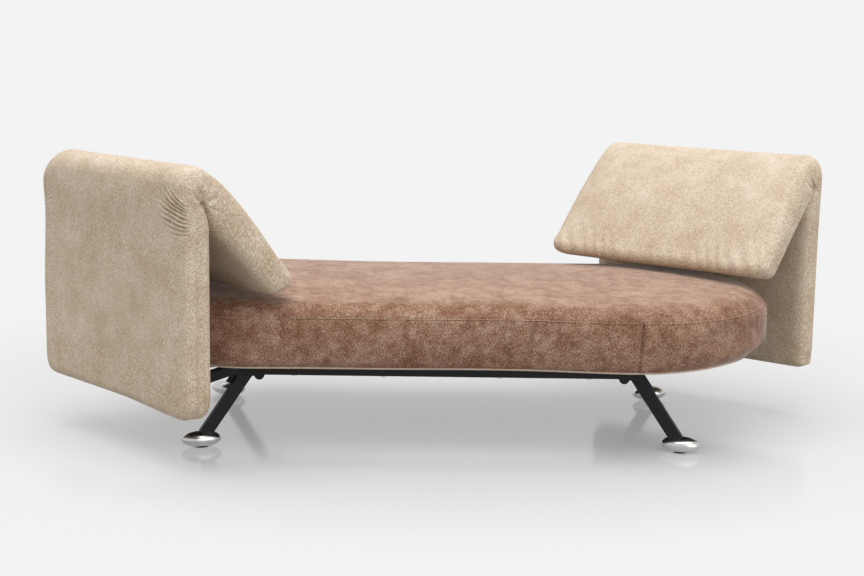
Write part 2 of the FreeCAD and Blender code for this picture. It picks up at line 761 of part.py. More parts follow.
def back_panel(label, side, yaw, bolt_holes):
    """Upright pad with its board, the ridge roll segments and the ridge rod."""
    pivot = (dim("pivot_x") * side, ZERO, ZERO)
    reach = panel_reach
    thick = dim("panel_thick")
    half = dim("panel_half")
    low = panel_base
    edge = dim("panel_edge")
    axis_n = reach + thick / 2
    gap = dim("soft_gap")
    lean = dim("fold_angle") / 2
    core_n = reach + (thick - dim("core_thick")) / 2
    side_view = profile(
        "panel_side_" + label,
        [
            (reach + edge, low),
            (reach + thick - edge, low),
            (reach + thick, low + edge),
            (reach + thick, dim("ridge_z")),
            (axis_n + gap, dim("ridge_z")),
            (reach, dim("ridge_z") - (thick / 2 + gap) / tan(lean)),
            (reach, low + edge),
        ],
        {1: edge, 6: edge},
        SIDE_VIEW,
    )
    crown = dim("panel_crown")
    round_end = thick / 2
    face = half * 2 - thick
    plan = profile(
        "panel_plan_" + label,
        [
            (reach, -half + round_end),
            (axis_n, -half),
            (reach + thick - crown, -half + round_end),
            (reach + thick - crown, half - round_end),
            (axis_n, half),
            (reach, half - round_end),
        ],
        {0: round_end, 1: round_end, 2: bow_radius(face, crown), 3: round_end, 4: round_end},
        STRAIGHT,
    )
    top = dim("ridge_z") + round_end
    front = profile(
        "panel_front_" + label,
        [
            (-half + dim("foot_corner"), low),
            (half - dim("foot_corner"), low),
            (half, low + dim("foot_corner")),
            (half, top - dim("ridge_corner")),
            (half - dim("ridge_corner"), top),
            (-half + dim("ridge_corner"), top),
            (-half, top - dim("ridge_corner")),
            (-half, low + dim("foot_corner")),
        ],
        {1: dim("foot_corner"), 3: dim("ridge_corner"), 5: dim("ridge_corner"), 7: dim("foot_corner")},
        END_VIEW,
    )
    slab = extrude("panel_slab_" + label, side_view, half * 2)
    tall = extrude("panel_tall_" + label, plan, top * 2)
    deep = extrude("panel_deep_" + label, front, (reach + thick) * 2)
    board = box(
        "core_board_" + label,
        (dim("core_thick"), core_half * 2, core_top - core_base),
        (core_n, -core_half, core_base),
    )
    board_space = box(
        "core_space_" + label,
        (dim("core_thick"), core_half * 2, core_top - core_base),
        (core_n, -core_half, core_base),
    )
    roll_radius = round_end - dim("roll_trim")
    roll_space = rod(
        "roll_space_" + label,
        roll_radius + gap,
        half * 2,
        (axis_n, -half, dim("ridge_z")),
        ALONG_Y,
    )
    tools = [board_space, roll_space]
    plate_n = core_n - dim("arm_plate_thick")
    plate_z = arm_low + dim("arm_high") / 2
    for tag, way in (("near", -1), ("far", 1)):
        plate_t = plate_n * tan(dim("splay_angle")) * way
        room = dim("arm_plate_wide") + dim("plate_room") * 2
        tools.append(
            box(
                "arm_room_%s_%s" % (tag, label),
                (core_n - reach, room, dim("arm_plate_high") + dim("plate_room") * 2),
                (reach, plate_t - room / 2, plate_z - dim("arm_plate_high") / 2 - dim("plate_room")),
            )
        )
        tools.append(
            box(
                "nut_room_%s_%s" % (tag, label),
                (dim("head_high") + dim("plate_room"), room, (dim("bolt_head") + dim("plate_room")) * 2),
                (core_n + dim("core_thick"), plate_t - room / 2, plate_z - dim("bolt_head") - dim("plate_room")),
            )
        )
    leaf_rivets = []
    leaf_holes = []
    leaves = []
    for tag, way in (("near", -1), ("far", 1)):
        mid = hinge_t * way
        leaf_low = core_top - dim("leaf_long")
        plate = box(
            "leaf_plate_%s_%s" % (tag, label),
            (dim("leaf_thick"), dim("leaf_wide"), dim("leaf_long")),
            (core_n - dim("leaf_thick"), mid - dim("leaf_wide") / 2, leaf_low),
        )
        neck = box(
            "leaf_neck_%s_%s" % (tag, label),
            (dim("leaf_thick"), dim("barrel_mid"), dim("ridge_z") - core_top + dim("neck_bite")),
            (core_n - dim("leaf_thick"), mid - dim("barrel_mid") / 2, core_top - dim("neck_bite")),
        )
        barrel = rod(
            "leaf_barrel_%s_%s" % (tag, label),
            dim("barrel_radius"),
            dim("barrel_mid"),
            (axis_n, mid - dim("barrel_mid") / 2, dim("ridge_z")),
            ALONG_Y,
        )
        eye = rod(
            "leaf_eye_%s_%s" % (tag, label),
            dim("rod_radius") + dim("run_gap"),
            dim("barrel_mid"),
            (axis_n, mid - dim("barrel_mid") / 2, dim("ridge_z")),
            ALONG_Y,
        )
        for step in (-1, 1):
            spot = (
                core_n - dim("leaf_thick"),
                mid + dim("leaf_wide") / 4 * step,
                leaf_low + dim("leaf_long") / 2,
            )
            mark = "%s_%d_%s" % (tag, step + 1, label)
            grip = dim("leaf_thick") + dim("core_thick")
            leaf_rivets.append(rod("panel_rivet_" + mark, dim("rivet_radius"), grip, spot, ALONG_X))
            leaf_holes.append(
                rod("rivet_hole_" + mark, dim("rivet_radius") + dim("run_gap"), grip, spot, ALONG_X)
            )
        leaf = fuse("leaf_whole_%s_%s" % (tag, label), [plate, neck, barrel])
        leaves.append(cut("leaf_%s_%s" % (tag, label), leaf, [eye] + leaf_holes[-2:]))
        tools.append(
            box(
                "leaf_room_%s_%s" % (tag, label),
                (dim("leaf_thick"), dim("hinge_window"), dim("ridge_z") - leaf_low),
                (core_n - dim("leaf_thick"), mid - dim("hinge_window") / 2, leaf_low),
            )
        )
        tools.append(
            box(
                "top_room_%s_%s" % (tag, label),
                (dim("core_thick") + dim("leaf_thick"), dim("hinge_window"), dim("ridge_z") - core_top),
                (core_n, mid - dim("hinge_window") / 2, core_top),
            )
        )
    pad = cut("panel_cut_" + label, common("panel_form_" + label, [slab, tall, deep]), tools)
    keep(swing(group("panel_pad_" + label, [pad]), pivot, yaw), "panel_pad_" + label)
    core = cut("core_cut_" + label, board, bolt_holes + leaf_holes)
    keep(swing(group("panel_board_" + label, [core]), pivot, yaw), "panel_board_" + label)
    keep(swing(group("ridge_leaves_" + label, leaves), pivot, yaw), "ridge_leaves_" + label)
    keep(swing(group("leaf_rivets_" + label, leaf_rivets), pivot, yaw), "leaf_rivets_" + label)
    shaft = rod(
        "ridge_shaft_" + label,
        dim("rod_radius"),
        rod_half * 2,
        (axis_n, -rod_half, dim("ridge_z")),
        ALONG_Y,
    )
    keep(swing(group("ridge_rod_" + label, [shaft]), pivot, yaw), "ridge_rod_" + label)
    window = dim("hinge_window")
    inner_end = hinge_t - window / 2
    outer_start = hinge_t + window / 2
    outer_long = half - outer_start
    rolls = []
    for mark, start, long in (
        ("near", -half, outer_long),
        ("middle", -inner_end, inner_end * 2),
        ("far", outer_start, outer_long),
    ):
        body = rod("roll_body_%s_%s" % (mark, label), roll_radius, long, (axis_n, start, dim("ridge_z")), ALONG_Y)
        hole = rod(
            "roll_hole_%s_%s" % (mark, label),
            dim("rod_radius") + dim("soft_gap"),
            long,
            (axis_n, start, dim("ridge_z")),
            ALONG_Y,
        )
        bored = cut("roll_bored_%s_%s" % (mark, label), body, [hole])
        if mark == "middle":
            rolls.append(bored)
        else:
            rolls.append(common("roll_end_%s_%s" % (mark, label), [bored, deep, tall]))
    keep(swing(group("ridge_roll_" + label, rolls), pivot, yaw), "ridge_roll_" + label)


def flap(label, side, yaw):
    """Folding inner pad on the ridge: board, moving leaves and the soft form."""
    axis_n = panel_reach + dim("panel_thick") / 2
    place = (dim("pivot_x") * side + axis_n * cos(yaw), axis_n * sin(yaw), dim("ridge_z"))
    turn = yaw + 180
    dip = 90 - dim("fold_angle")
    half_thick = dim("flap_thick") / 2
    reach = dim("flap_reach")
    half = dim("panel_half")
    gap = dim("soft_gap")
    lean = dim("fold_angle") / 2
    crown = dim("flap_crown")
    bend = 90 - dim("fold_angle") + dim("tip_slope_angle")
    rear_round = dim("tip_rear")
    front_round = dim("tip_front")
    rear_run = rear_round * tan(bend / 2)
    front_run = front_round / tan(bend / 2)
    tip = reach + dim("flap_thick") / tan(bend)
    side_view = profile(
        "flap_side_" + label,
        [
            (gap, ZERO),
            (half_thick / tan(lean) + gap, -half_thick),
            (reach - rear_run, -half_thick),
            (reach + rear_run * cos(bend), rear_run * sin(bend) - half_thick),
            (tip - front_run * cos(bend), half_thick - front_run * sin(bend)),
            (tip - front_run, half_thick),
            (gap, half_thick),
        ],
        {2: rear_round, 4: front_round, 5: bow_radius(tip - front_run - gap, crown)},
        SIDE_VIEW,
    )
    end = dim("flap_end")
    high = half_thick + crown
    cross = profile(
        "flap_cross_" + label,
        [
            (-half + end, -half_thick),
            (half - end, -half_thick),
            (half, end - half_thick),
            (half, high - end),
            (half - end, high),
            (-half + end, high),
            (-half, high - end),
            (-half, end - half_thick),
        ],
        {1: end, 3: end, 5: end, 7: end},
        END_VIEW,
    )
    corner = dim("flap_corner")
    end_x = tip - front_run + front_round
    plan = profile(
        "flap_plan_" + label,
        [
            (-half_thick, -half),
            (end_x - corner, -half),
            (end_x, -half + corner),
            (end_x, half - corner),
            (end_x - corner, half),
            (-half_thick, half),
        ],
        {1: corner, 3: corner},
        STRAIGHT,
    )
    slab = extrude("flap_slab_" + label, side_view, half * 2)
    long = extrude("flap_long_" + label, cross, end_x * 2)
    deep = extrude("flap_deep_" + label, plan, high * 4)
    core_low = -dim("flap_core_thick") / 2
    core_size = (
        flap_core_end - dim("flap_core_start"),
        flap_core_half * 2,
        dim("flap_core_thick"),
    )
    core_spot = (dim("flap_core_start"), -flap_core_half, core_low)
    board = box("flap_board_box_" + label, core_size, core_spot)
    board_space = box("flap_board_space_" + label, core_size, core_spot)
    roll_radius = dim("panel_thick") / 2 - dim("roll_trim")
    roll_space = rod("flap_roll_space_" + label, roll_radius + gap, half * 2, (ZERO, -half, ZERO), ALONG_Y)
    tools = [board_space, roll_space]
    leaves = []
    rivets = []
    holes = []
    leaf_z = -core_low
    leaf_end = dim("flap_core_start") + dim("leaf_long")
    for tag, way in (("near", -1), ("far", 1)):
        mid = hinge_t * way
        parts = [
            box(
                "flap_leaf_plate_%s_%s" % (tag, label),
                (leaf_end - roll_radius, dim("leaf_wide"), dim("leaf_thick")),
                (roll_radius, mid - dim("leaf_wide") / 2, leaf_z),
            )
        ]
        eyes = []
        for step in (-1, 1):
            mark = "%s_%d_%s" % (tag, step + 1, label)
            offset = dim("barrel_mid") / 2 + dim("barrel_gap")
            start = mid + offset if step > 0 else mid - offset - dim("barrel_side")
            parts.append(
                rod("flap_barrel_" + mark, dim("barrel_radius"), dim("barrel_side"), (ZERO, start, ZERO), ALONG_Y)
            )
            parts.append(
                box(
                    "flap_neck_" + mark,
                    (roll_radius + dim("neck_bite"), dim("barrel_side"), dim("leaf_thick")),
                    (ZERO, start, leaf_z),
                )
            )
            eyes.append(
                rod(
                    "flap_eye_" + mark,
                    dim("rod_radius") + dim("run_gap"),
                    dim("barrel_side"),
                    (ZERO, start, ZERO),
                    ALONG_Y,
                )
            )
            spot = (
                dim("flap_core_start") + dim("leaf_long") / 2,
                mid + dim("leaf_wide") / 4 * step,
                core_low,
            )
            grip = dim("flap_core_thick") + dim("leaf_thick")
            rivets.append(rod("flap_rivet_" + mark, dim("rivet_radius"), grip, spot))
            holes.append(rod("flap_rivet_hole_" + mark, dim("rivet_radius") + dim("run_gap"), grip, spot))
        whole = fuse("flap_leaf_whole_%s_%s" % (tag, label), parts)
        leaves.append(cut("flap_leaf_%s_%s" % (tag, label), whole, eyes + holes[-2:]))
        tools.append(
            box(
                "flap_leaf_room_%s_%s" % (tag, label),
                (leaf_end, dim("hinge_window"), dim("leaf_thick")),
                (ZERO, mid - dim("hinge_window") / 2, leaf_z),
            )
        )
        tools.append(
            box(
                "flap_barrel_room_%s_%s" % (tag, label),
                (dim("flap_core_start"), dim("hinge_window"), dim("flap_core_thick")),
                (ZERO, mid - dim("hinge_window") / 2, core_low),
            )
        )
    pad = cut("flap_cut_" + label, common("flap_form_" + label, [slab, long, deep]), tools)
    keep(swing(group("flap_pad_" + label, [pad]), place, turn, dip), "flap_pad_" + label)
    core = cut("flap_core_" + label, board, holes)
    keep(swing(group("flap_board_" + label, [core]), place, turn, dip), "flap_board_" + label)
    keep(swing(group("flap_leaves_" + label, leaves), place, turn, dip), "flap_leaves_" + label)
    keep(swing(group("flap_rivets_" + label, rivets), place, turn, dip), "flap_rivets_" + label)


deck_holes = rails_and_bolts()
seat_stack(deck_holes)
legs_and_feet()
pairs = {}
for name, sign in SIDES:
    facing = dim("right_angle") if sign > 0 else dim("left_angle") + 180
    for kind, piece in swivel_seat(name, sign).items():
        pairs.setdefault(kind, []).append(piece)
    plate_holes = yoke(name, sign, facing)
    back_panel(name, sign, facing, plate_holes)
    flap(name, sign, facing)
for kind, pieces in pairs.items():
    keep(group(kind, pieces), kind)
doc.recompute()

faults = []
for item in doc.Objects:
    if "Invalid" in item.State or "Error" in item.State:
        faults.append(item.Name)
for label, item in nodes:
    if item.Shape.isNull() or not item.Shape.isValid() or not item.Shape.Solids:
        faults.append(label)
if faults:
    raise RuntimeError("not sound: " + ", ".join(faults))

os.makedirs("parts", exist_ok=True)
for label, item in nodes:
    item.Shape.exportStep("parts/%s.step" % label)
    print(label, len(item.Shape.Solids), round(item.Shape.Volume / 1000, 1))
print(len(nodes), "nodes")
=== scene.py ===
"""Tete-a-tete sofa: soft seat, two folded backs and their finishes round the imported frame."""

import json
import logging
import math
from dataclasses import dataclass, field
from enum import Enum
from typing import Callable, Dict, List, Sequence, Tuple, Union

import bmesh
import bpy
import numpy as np
from mathutils import Matrix, Vector
from mathutils.bvhtree import BVHTree


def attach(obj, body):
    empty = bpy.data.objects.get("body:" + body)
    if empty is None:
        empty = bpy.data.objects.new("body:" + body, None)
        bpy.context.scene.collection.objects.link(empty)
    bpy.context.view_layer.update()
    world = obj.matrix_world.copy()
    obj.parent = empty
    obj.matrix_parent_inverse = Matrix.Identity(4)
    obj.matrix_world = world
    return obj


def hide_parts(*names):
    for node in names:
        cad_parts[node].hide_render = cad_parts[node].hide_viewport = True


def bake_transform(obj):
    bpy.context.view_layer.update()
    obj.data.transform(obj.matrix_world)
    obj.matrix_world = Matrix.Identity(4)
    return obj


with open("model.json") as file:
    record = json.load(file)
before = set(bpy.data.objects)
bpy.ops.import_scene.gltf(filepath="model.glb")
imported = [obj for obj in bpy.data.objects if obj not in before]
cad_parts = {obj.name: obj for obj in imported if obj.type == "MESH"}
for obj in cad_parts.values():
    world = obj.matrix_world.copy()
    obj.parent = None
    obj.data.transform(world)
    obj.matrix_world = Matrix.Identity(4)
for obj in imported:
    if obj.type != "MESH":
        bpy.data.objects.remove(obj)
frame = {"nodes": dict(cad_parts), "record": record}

logging.basicConfig(level=logging.INFO, format="%(message)s")
LOG = logging.getLogger("sofa")

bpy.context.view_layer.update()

Pair = Tuple[float, float]
Triple = Tuple[float, float, float]
Colour = Triple
Piece = bpy.types.Object
Socket = bpy.types.NodeSocket
Spots = np.ndarray

# Wrinkles of the seat's band: place along the seat, slope, width and depth.
BAND_WRINKLES = (
    (-0.115, 0.11, 0.006, 1.0), (-0.072, 0.08, 0.006, 0.4), (-0.032, 0.1, 0.006, 0.5),
    (0.048, 0.12, 0.0075, 0.7), (0.09, 0.1, 0.006, 0.4), (0.134, 0.14, 0.006, 0.7),
    (0.152, 0.12, 0.006, 0.6), (0.177, 0.13, 0.006, 0.8), (0.236, 0.14, 0.006, 1.2),
    (0.271, 0.1, 0.006, 0.5), (0.309, 0.11, 0.00675, 0.8), (0.344, 0.08, 0.006, 0.4),
)
# Puckers round a ridge's end: angle, width, where they start and stop, and depth.
PUCKERS = (
    (0.35, 0.16, 0.004, 0.060, 0.9), (0.80, 0.13, 0.006, 0.045, 0.7), (1.15, 0.15, 0.003, 0.070, 1.0),
    (1.62, 0.12, 0.006, 0.050, 0.8), (1.95, 0.14, 0.004, 0.062, 0.9), (2.35, 0.12, 0.005, 0.075, 0.8),
    (-0.25, 0.13, 0.006, 0.055, 0.6),
)
# Pleats on the outer face below a ridge's end: drop, slope, length and depth.
PLEATS = (
    (0.044, 0.85, 0.075, 0.8), (0.031, 0.68, 0.100, 0.9), (0.019, 0.52, 0.120, 1.0),
    (0.008, 0.42, 0.105, 0.8), (-0.004, 0.36, 0.130, 1.0), (-0.016, 0.28, 0.115, 0.9),
    (-0.028, 0.22, 0.125, 1.0), (-0.040, 0.14, 0.105, 0.7), (-0.053, 0.08, 0.085, 0.5),
)
QUARTER = math.pi / 2


class Side(Enum):
    """The two backs, by the end of the seat that they stand at."""

    LEFT = "left"
    RIGHT = "right"


class Slot(Enum):
    """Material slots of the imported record."""

    BEIGE = "beige_cloth"
    BROWN = "brown_cloth"
    PIPING = "piping_cloth"
    DUST = "dust_cloth"
    FOAM = "seat_foam"
    PLYWOOD = "plywood"
    ALUMINIUM = "polished_aluminium"
    GLIDE = "glide_plastic"
    BEARING = "bearing_plastic"
    ZINC = "zinc_steel"
    STEEL = "black_steel"


def rgba(colour: Colour) -> Tuple[float, float, float, float]:
    """A colour with full cover."""
    return (colour[0], colour[1], colour[2], 1.0)


def darker(colour: Colour, share: float) -> Colour:
    """A colour at a share of its strength."""
    return tuple(share * part for part in colour)


class NodeSheet:
    """Short hand for laying out the nodes of a material or of the air."""

    def __init__(self, owner: Union[bpy.types.Material, bpy.types.World], output: str) -> None:
        """Start an empty sheet with an output.

        Args:
            owner: What the nodes belong to.
            output: Type of the output node.
        """
        owner.use_nodes = True
        self.tree = owner.node_tree
        self.tree.nodes.clear()
        self.output = self.tree.nodes.new(output)

    def node(self, kind: str, *sources: object, **values: object) -> bpy.types.Node:
        """Add a node.

        Args:
            kind: Node type.
            sources: What its first inputs take, in order: a socket to link, or a plain value.
            values: Properties, or inputs by their name with spaces as underscores.

        Returns:
            The new node.
        """
        made = self.tree.nodes.new(kind)
        for key, value in values.items():
            if hasattr(made, key):
                setattr(made, key, value)
            else:
                made.inputs[key.replace("_", " ")].default_value = value
        for into, source in zip(made.inputs, sources):
            if isinstance(source, Socket):
                self.link(source, into)
            else:
                into.default_value = source
        return made

    def link(self, out: Socket, into: Socket) -> None:
        """Join two sockets."""
        self.tree.links.new(out, into)


class FinishSheet(NodeSheet):
    """Nodes of one finish, round a principled shader."""

    def __init__(self, name: str, **values: object) -> None:
        """Start a material whose shader has the given plain inputs.

        Args:
            name: Name of the material.
            values: The shader's inputs, by their name with spaces as underscores.
        """
        self.material = bpy.data.materials.new(name)
        super().__init__(self.material, "ShaderNodeOutputMaterial")
        self.shader = self.node("ShaderNodeBsdfPrincipled", **values)
        self.link(self.shader.outputs[0], self.output.inputs[0])
        self.body = self.node("ShaderNodeTexCoord").outputs["Object"]

    def noise(self, place: Socket, scale: float, detail: float, **values: float) -> Socket:
        """The value of a noise that reads the given coordinates."""
        return self.node("ShaderNodeTexNoise", place, Scale=scale, Detail=detail, **values).outputs["Fac"]

    def add_share(self, value: Socket, share: float, base: Socket) -> Socket:
        """The base with a share of another value added."""
        return self.node("ShaderNodeMath", value, share, base, operation="MULTIPLY_ADD").outputs[0]

    def colour(self, source: Socket, stops: Sequence[Tuple[float, Colour]]) -> None:
        """Colour the shader by a value.

        Args:
            source: Value socket.
            stops: Places and colours along the ramp.
        """
        made = self.node("ShaderNodeValToRGB", source)
        ramp = made.color_ramp.elements
        for element, (place, tone) in ((ramp[0], stops[0]), (ramp[1], stops[-1])):
            element.position = place
            element.color = rgba(tone)
        for place, tone in stops[1:-1]:
            ramp.new(place).color = rgba(tone)
        self.link(made.outputs[0], self.shader.inputs["Base Color"])

    def uneven(self, source: Socket, rough: float, swing: float) -> None:
        """Let the roughness swing about its level.

        Args:
            source: Value socket that it follows.
            rough: The level.
            swing: How far it swings, as a share of the level.
        """
        low, high = rough * (1.0 - swing), min(1.0, rough * (1.0 + swing))
        made = self.node("ShaderNodeMapRange", source, To_Min=low, To_Max=high)
        self.link(made.outputs["Result"], self.shader.inputs["Roughness"])

    def bump(self, height: Socket, strength: float, distance: float) -> None:
        """Raise the surface by a height socket.

        Args:
            height: Value socket of the relief.
            strength: How much of it shows.
            distance: Its height in metres.
        """
        made = self.node("ShaderNodeBump", Strength=strength, Distance=distance)
        self.link(height, made.inputs["Height"])
        self.link(made.outputs[0], self.shader.inputs["Normal"])


@dataclass(frozen=True)
class ClothFinish:
    """Short pile cloth: flecked fibres, faint clouds where it is brushed, a pale-tinted shader sheen, and a
    painted sheen that lifts the colour towards pale where the piece's painted sheen attribute is high.
    """

    name: str
    dark: Colour
    tone: Colour
    pale: Colour
    nap_sheen: Colour
    sheen: float = 0.3
    sheen_rough: float = 0.3
    rough: float = 0.9
    specular: float = 0.15
    fleck: float = 330.0
    fibres: Tuple[Pair, ...] = ((0.5, 0.62), (-0.75, 0.7))
    clouds: Tuple[Pair, ...] = ((11.0, 0.45), (70.0, 0.25))
    # Share of the painted sheen, which lifts the colour towards the pale stop.
    painted_sheen: float = 0.07
    spread: float = 0.28
    stops: Triple = (0.15, 0.5, 0.9)
    thread: float = 900.0
    thread_share: float = 0.4
    relief: Pair = (0.4, 0.0012)

    def make(self) -> bpy.types.Material:
        """Build the material.

        Returns:
            A cloth material that reads the piece's own cloth map and its painted sheen attribute.
        """
        sheet = FinishSheet(
            self.name,
            Roughness=self.rough,
            Sheen_Weight=self.sheen,
            Sheen_Roughness=self.sheen_rough,
            Sheen_Tint=rgba(self.nap_sheen),
            Specular_IOR_Level=self.specular,
        )
        weave = sheet.node("ShaderNodeAttribute", attribute_name="cloth_map").outputs["Vector"]
        fibres = []
        for turn, squeeze in self.fibres:
            lay = sheet.node("ShaderNodeMapping", weave, Rotation=(0.0, 0.0, turn), Scale=(1.0, squeeze, 1.0))
            fibres.append(sheet.noise(lay.outputs["Vector"], self.fleck, 4.0, Roughness=0.66))
        fleck = sheet.node("ShaderNodeMath", *fibres, operation="ADD").outputs[0]
        mixed = fleck
        for scale, weight in self.clouds:
            mixed = sheet.add_share(sheet.noise(sheet.body, scale, 5.0, Roughness=0.6), weight, mixed)
        # Painted sheen: the attribute lifts the colour towards the pale stop, standing in for the sheen and
        # top light on faces that look up.
        nap_sheen = sheet.node("ShaderNodeAttribute", attribute_name="nap_sheen").outputs["Fac"]
        mixed = sheet.add_share(nap_sheen, self.painted_sheen, mixed)
        middle = 1.0 + 0.5 * sum(weight for _, weight in self.clouds)
        low, high = middle - self.spread, middle + self.spread
        level = sheet.node("ShaderNodeMapRange", mixed, From_Min=low, From_Max=high)
        sheet.colour(level.outputs["Result"], list(zip(self.stops, (self.dark, self.tone, self.pale))))
        thread = sheet.noise(sheet.body, self.thread, 2.0)
        sheet.bump(sheet.add_share(thread, self.thread_share, fleck), *self.relief)
        return sheet.material


@dataclass(frozen=True)
class PaintFinish:
    """Satin paint or moulded plastic with a faint orange peel."""

    name: str
    tone: Colour
    rough: float
    peel: float = 260.0
    strength: float = 0.06
    gloss: float = 0.5
    wear: float = 9.0
    worn: float = 0.8
    swing: float = 0.15
    depth: float = 0.0004

    def make(self) -> bpy.types.Material:
        """Build the material.

        Returns:
            A paint that is a little darker and glossier in patches.
        """
        sheet = FinishSheet(self.name, Specular_IOR_Level=self.gloss)
        patches = sheet.noise(sheet.body, self.wear, 5.0)
        sheet.colour(patches, [(0.3, darker(self.tone, self.worn)), (0.7, self.tone)])
        sheet.uneven(patches, self.rough, self.swing)
        sheet.bump(sheet.noise(sheet.body, self.peel, 2.0), self.strength, self.depth)
        return sheet.material


@dataclass(frozen=True)
class MetalFinish:
    """Bare metal, polished or plated, with fine rubbing marks."""

    name: str
    tone: Colour
    rough: float
    marks: float = 90.0
    rubbed: float = 0.88
    swing: float = 0.3
    relief: Pair = (0.03, 0.0003)

    def make(self) -> bpy.types.Material:
        """Build the material.

        Returns:
            A metal that is a little duller where it is rubbed.
        """
        sheet = FinishSheet(self.name, Metallic=1.0)
        rub = sheet.noise(sheet.body, self.marks, 6.0)
        sheet.colour(rub, [(0.35, darker(self.tone, self.rubbed)), (0.65, self.tone)])
        sheet.uneven(rub, self.rough, self.swing)
        sheet.bump(rub, *self.relief)
        return sheet.material


@dataclass(frozen=True)
class GrainFinish:
    """Plywood or open foam: bands or cells in two tones."""

    name: str
    tone: Colour
    shade: Colour
    scale: float
    rough: float = 0.75
    warp: float = 1.4
    relief: Pair = (0.2, 0.0006)

    def make(self) -> bpy.types.Material:
        """Build the material.

        Returns:
            A matt material in two tones.
        """
        sheet = FinishSheet(self.name, Roughness=self.rough)
        grain = sheet.noise(sheet.body, self.scale, 6.0, Distortion=self.warp)
        sheet.colour(grain, [(0.35, self.shade), (0.65, self.tone)])
        sheet.bump(grain, *self.relief)
        return sheet.material


class Finishes:
    """All finishes of the sofa, one material for each slot."""

    def __init__(self) -> None:
        """Build every material once, under the name of its slot."""
        beige = ClothFinish(
            "beige_cloth",
            dark=(0.420, 0.305, 0.200),
            tone=(0.565, 0.450, 0.330),
            pale=(0.725, 0.630, 0.520),
            nap_sheen=(1.0, 0.92, 0.8),
        )
        brown = ClothFinish(
            "brown_cloth",
            dark=(0.150, 0.066, 0.038),
            tone=(0.262, 0.138, 0.088),
            pale=(0.455, 0.315, 0.235),
            nap_sheen=(1.0, 0.93, 0.88),
            sheen=0.45,
            fleck=290.0,
            clouds=((9.0, 0.45), (30.0, 0.55), (75.0, 0.3)),
            # Painted sheen: the brown is lifted further towards pale where it looks up.
            painted_sheen=0.10,
        )
        piping = ClothFinish(
            "piping_cloth",
            dark=(0.42, 0.32, 0.25),
            tone=(0.56, 0.44, 0.35),
            pale=(0.66, 0.54, 0.44),
            nap_sheen=(1.0, 0.9, 0.8),
        )
        hard = (
            PaintFinish("dust_cloth", (0.03, 0.028, 0.026), 0.9, peel=700.0, strength=0.3),
            GrainFinish("seat_foam", (0.78, 0.72, 0.58), (0.66, 0.6, 0.46), 420.0, 0.95),
            GrainFinish("plywood", (0.62, 0.45, 0.28), (0.46, 0.31, 0.18), 26.0),
            MetalFinish("polished_aluminium", (0.64, 0.63, 0.62), 0.24),
            PaintFinish("glide_plastic", (0.02, 0.02, 0.02), 0.6),
            PaintFinish("bearing_plastic", (0.7, 0.69, 0.65), 0.4),
            MetalFinish("zinc_steel", (0.62, 0.63, 0.65), 0.32, 160.0),
            PaintFinish("black_steel", (0.010, 0.009, 0.009), 0.5, gloss=0.25),
        )
        self.by_slot: Dict[Slot, bpy.types.Material] = {
            Slot(finish.name): finish.make() for finish in (beige, brown, piping) + hard
        }

    def dress(self, piece: Piece, slot: Slot) -> None:
        """Give a piece one finish all over."""
        piece.data.materials.clear()
        piece.data.materials.append(self.by_slot[slot])

    def dress_frame(self, record: dict, nodes: Dict[str, Piece]) -> None:
        """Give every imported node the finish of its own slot."""
        for part in record["subparts"]:
            self.dress(nodes[part["node"]], Slot(part["material_slot"]))


def loop_mesh(name: str, rows: Spots, closed: bool) -> Piece:
    """Join rows of points, each a closed loop, into a closed skin.

    Args:
        name: Name of the new object.
        rows: Loops of the same length.
        closed: Whether the last loop joins the first. If not, both ends are filled.

    Returns:
        The new mesh object.
    """
    total, count = rows.shape[:2]
    faces: List[Sequence[int]] = []
    for row in range(total if closed else total - 1):
        low, high = row * count, (row + 1) % total * count
        for step in range(count):
            after = (step + 1) % count
            faces.append((low + step, low + after, high + after, high + step))
    if not closed:
        faces.append(tuple(reversed(range(count))))
        faces.append(tuple(range((total - 1) * count, total * count)))
    mesh = bpy.data.meshes.new(name)
    mesh.from_pydata(rows.reshape(-1, 3).tolist(), [], faces)
    mesh.update()
    made = bpy.data.objects.new(name, mesh)
    bpy.context.scene.collection.objects.link(made)
    tidy_normals(made)
    return made


def tube(name: str, path: Spots, radius: float, sides: int = 10) -> Piece:
    """A closed round cord along a closed path.

    Args:
        name: Name of the new object.
        path: Points of the closed path.
        radius: Radius of the cord.
        sides: Points round the cord.

    Returns:
        The new mesh object.
    """
    along = np.roll(path, -1, axis=0) - np.roll(path, 1, axis=0)
    along /= np.linalg.norm(along, axis=1, keepdims=True)
    out = np.cross(along, np.array([0.0, 0.0, 1.0]))
    out /= np.linalg.norm(out, axis=1, keepdims=True)
    rise = np.cross(out, along)
    points = []
    for step in range(sides):
        angle = 2.0 * math.pi * step / sides
        points.append(path + radius * (math.cos(angle) * out + math.sin(angle) * rise))
    made = loop_mesh(name, np.stack(points, axis=1), True)
    smooth(made)
    return made


def arc(centre: Pair, radius: float, turn: Pair, steps: int, skip: int = 0) -> List[Pair]:
    """Points of an arc at even steps.

    Args:
        centre: Its centre.
        radius: Its radius.
        turn: First and last angle.
        steps: How many steps it has.
        skip: How many points are left out at its start.

    Returns:
        The points.
    """
    angles = [turn[0] + (turn[1] - turn[0]) * step / steps for step in range(skip, steps + 1)]
    return [(centre[0] + radius * math.cos(angle), centre[1] + radius * math.sin(angle)) for angle in angles]


def tidy_normals(piece: Piece) -> None:
    """Merge doubles and turn every face outwards.

    Args:
        piece: Mesh to tidy.
    """
    work = bmesh.new()
    work.from_mesh(piece.data)
    bmesh.ops.remove_doubles(work, verts=work.verts, dist=1e-6)
    bmesh.ops.recalc_face_normals(work, faces=work.faces)
    work.to_mesh(piece.data)
    work.free()


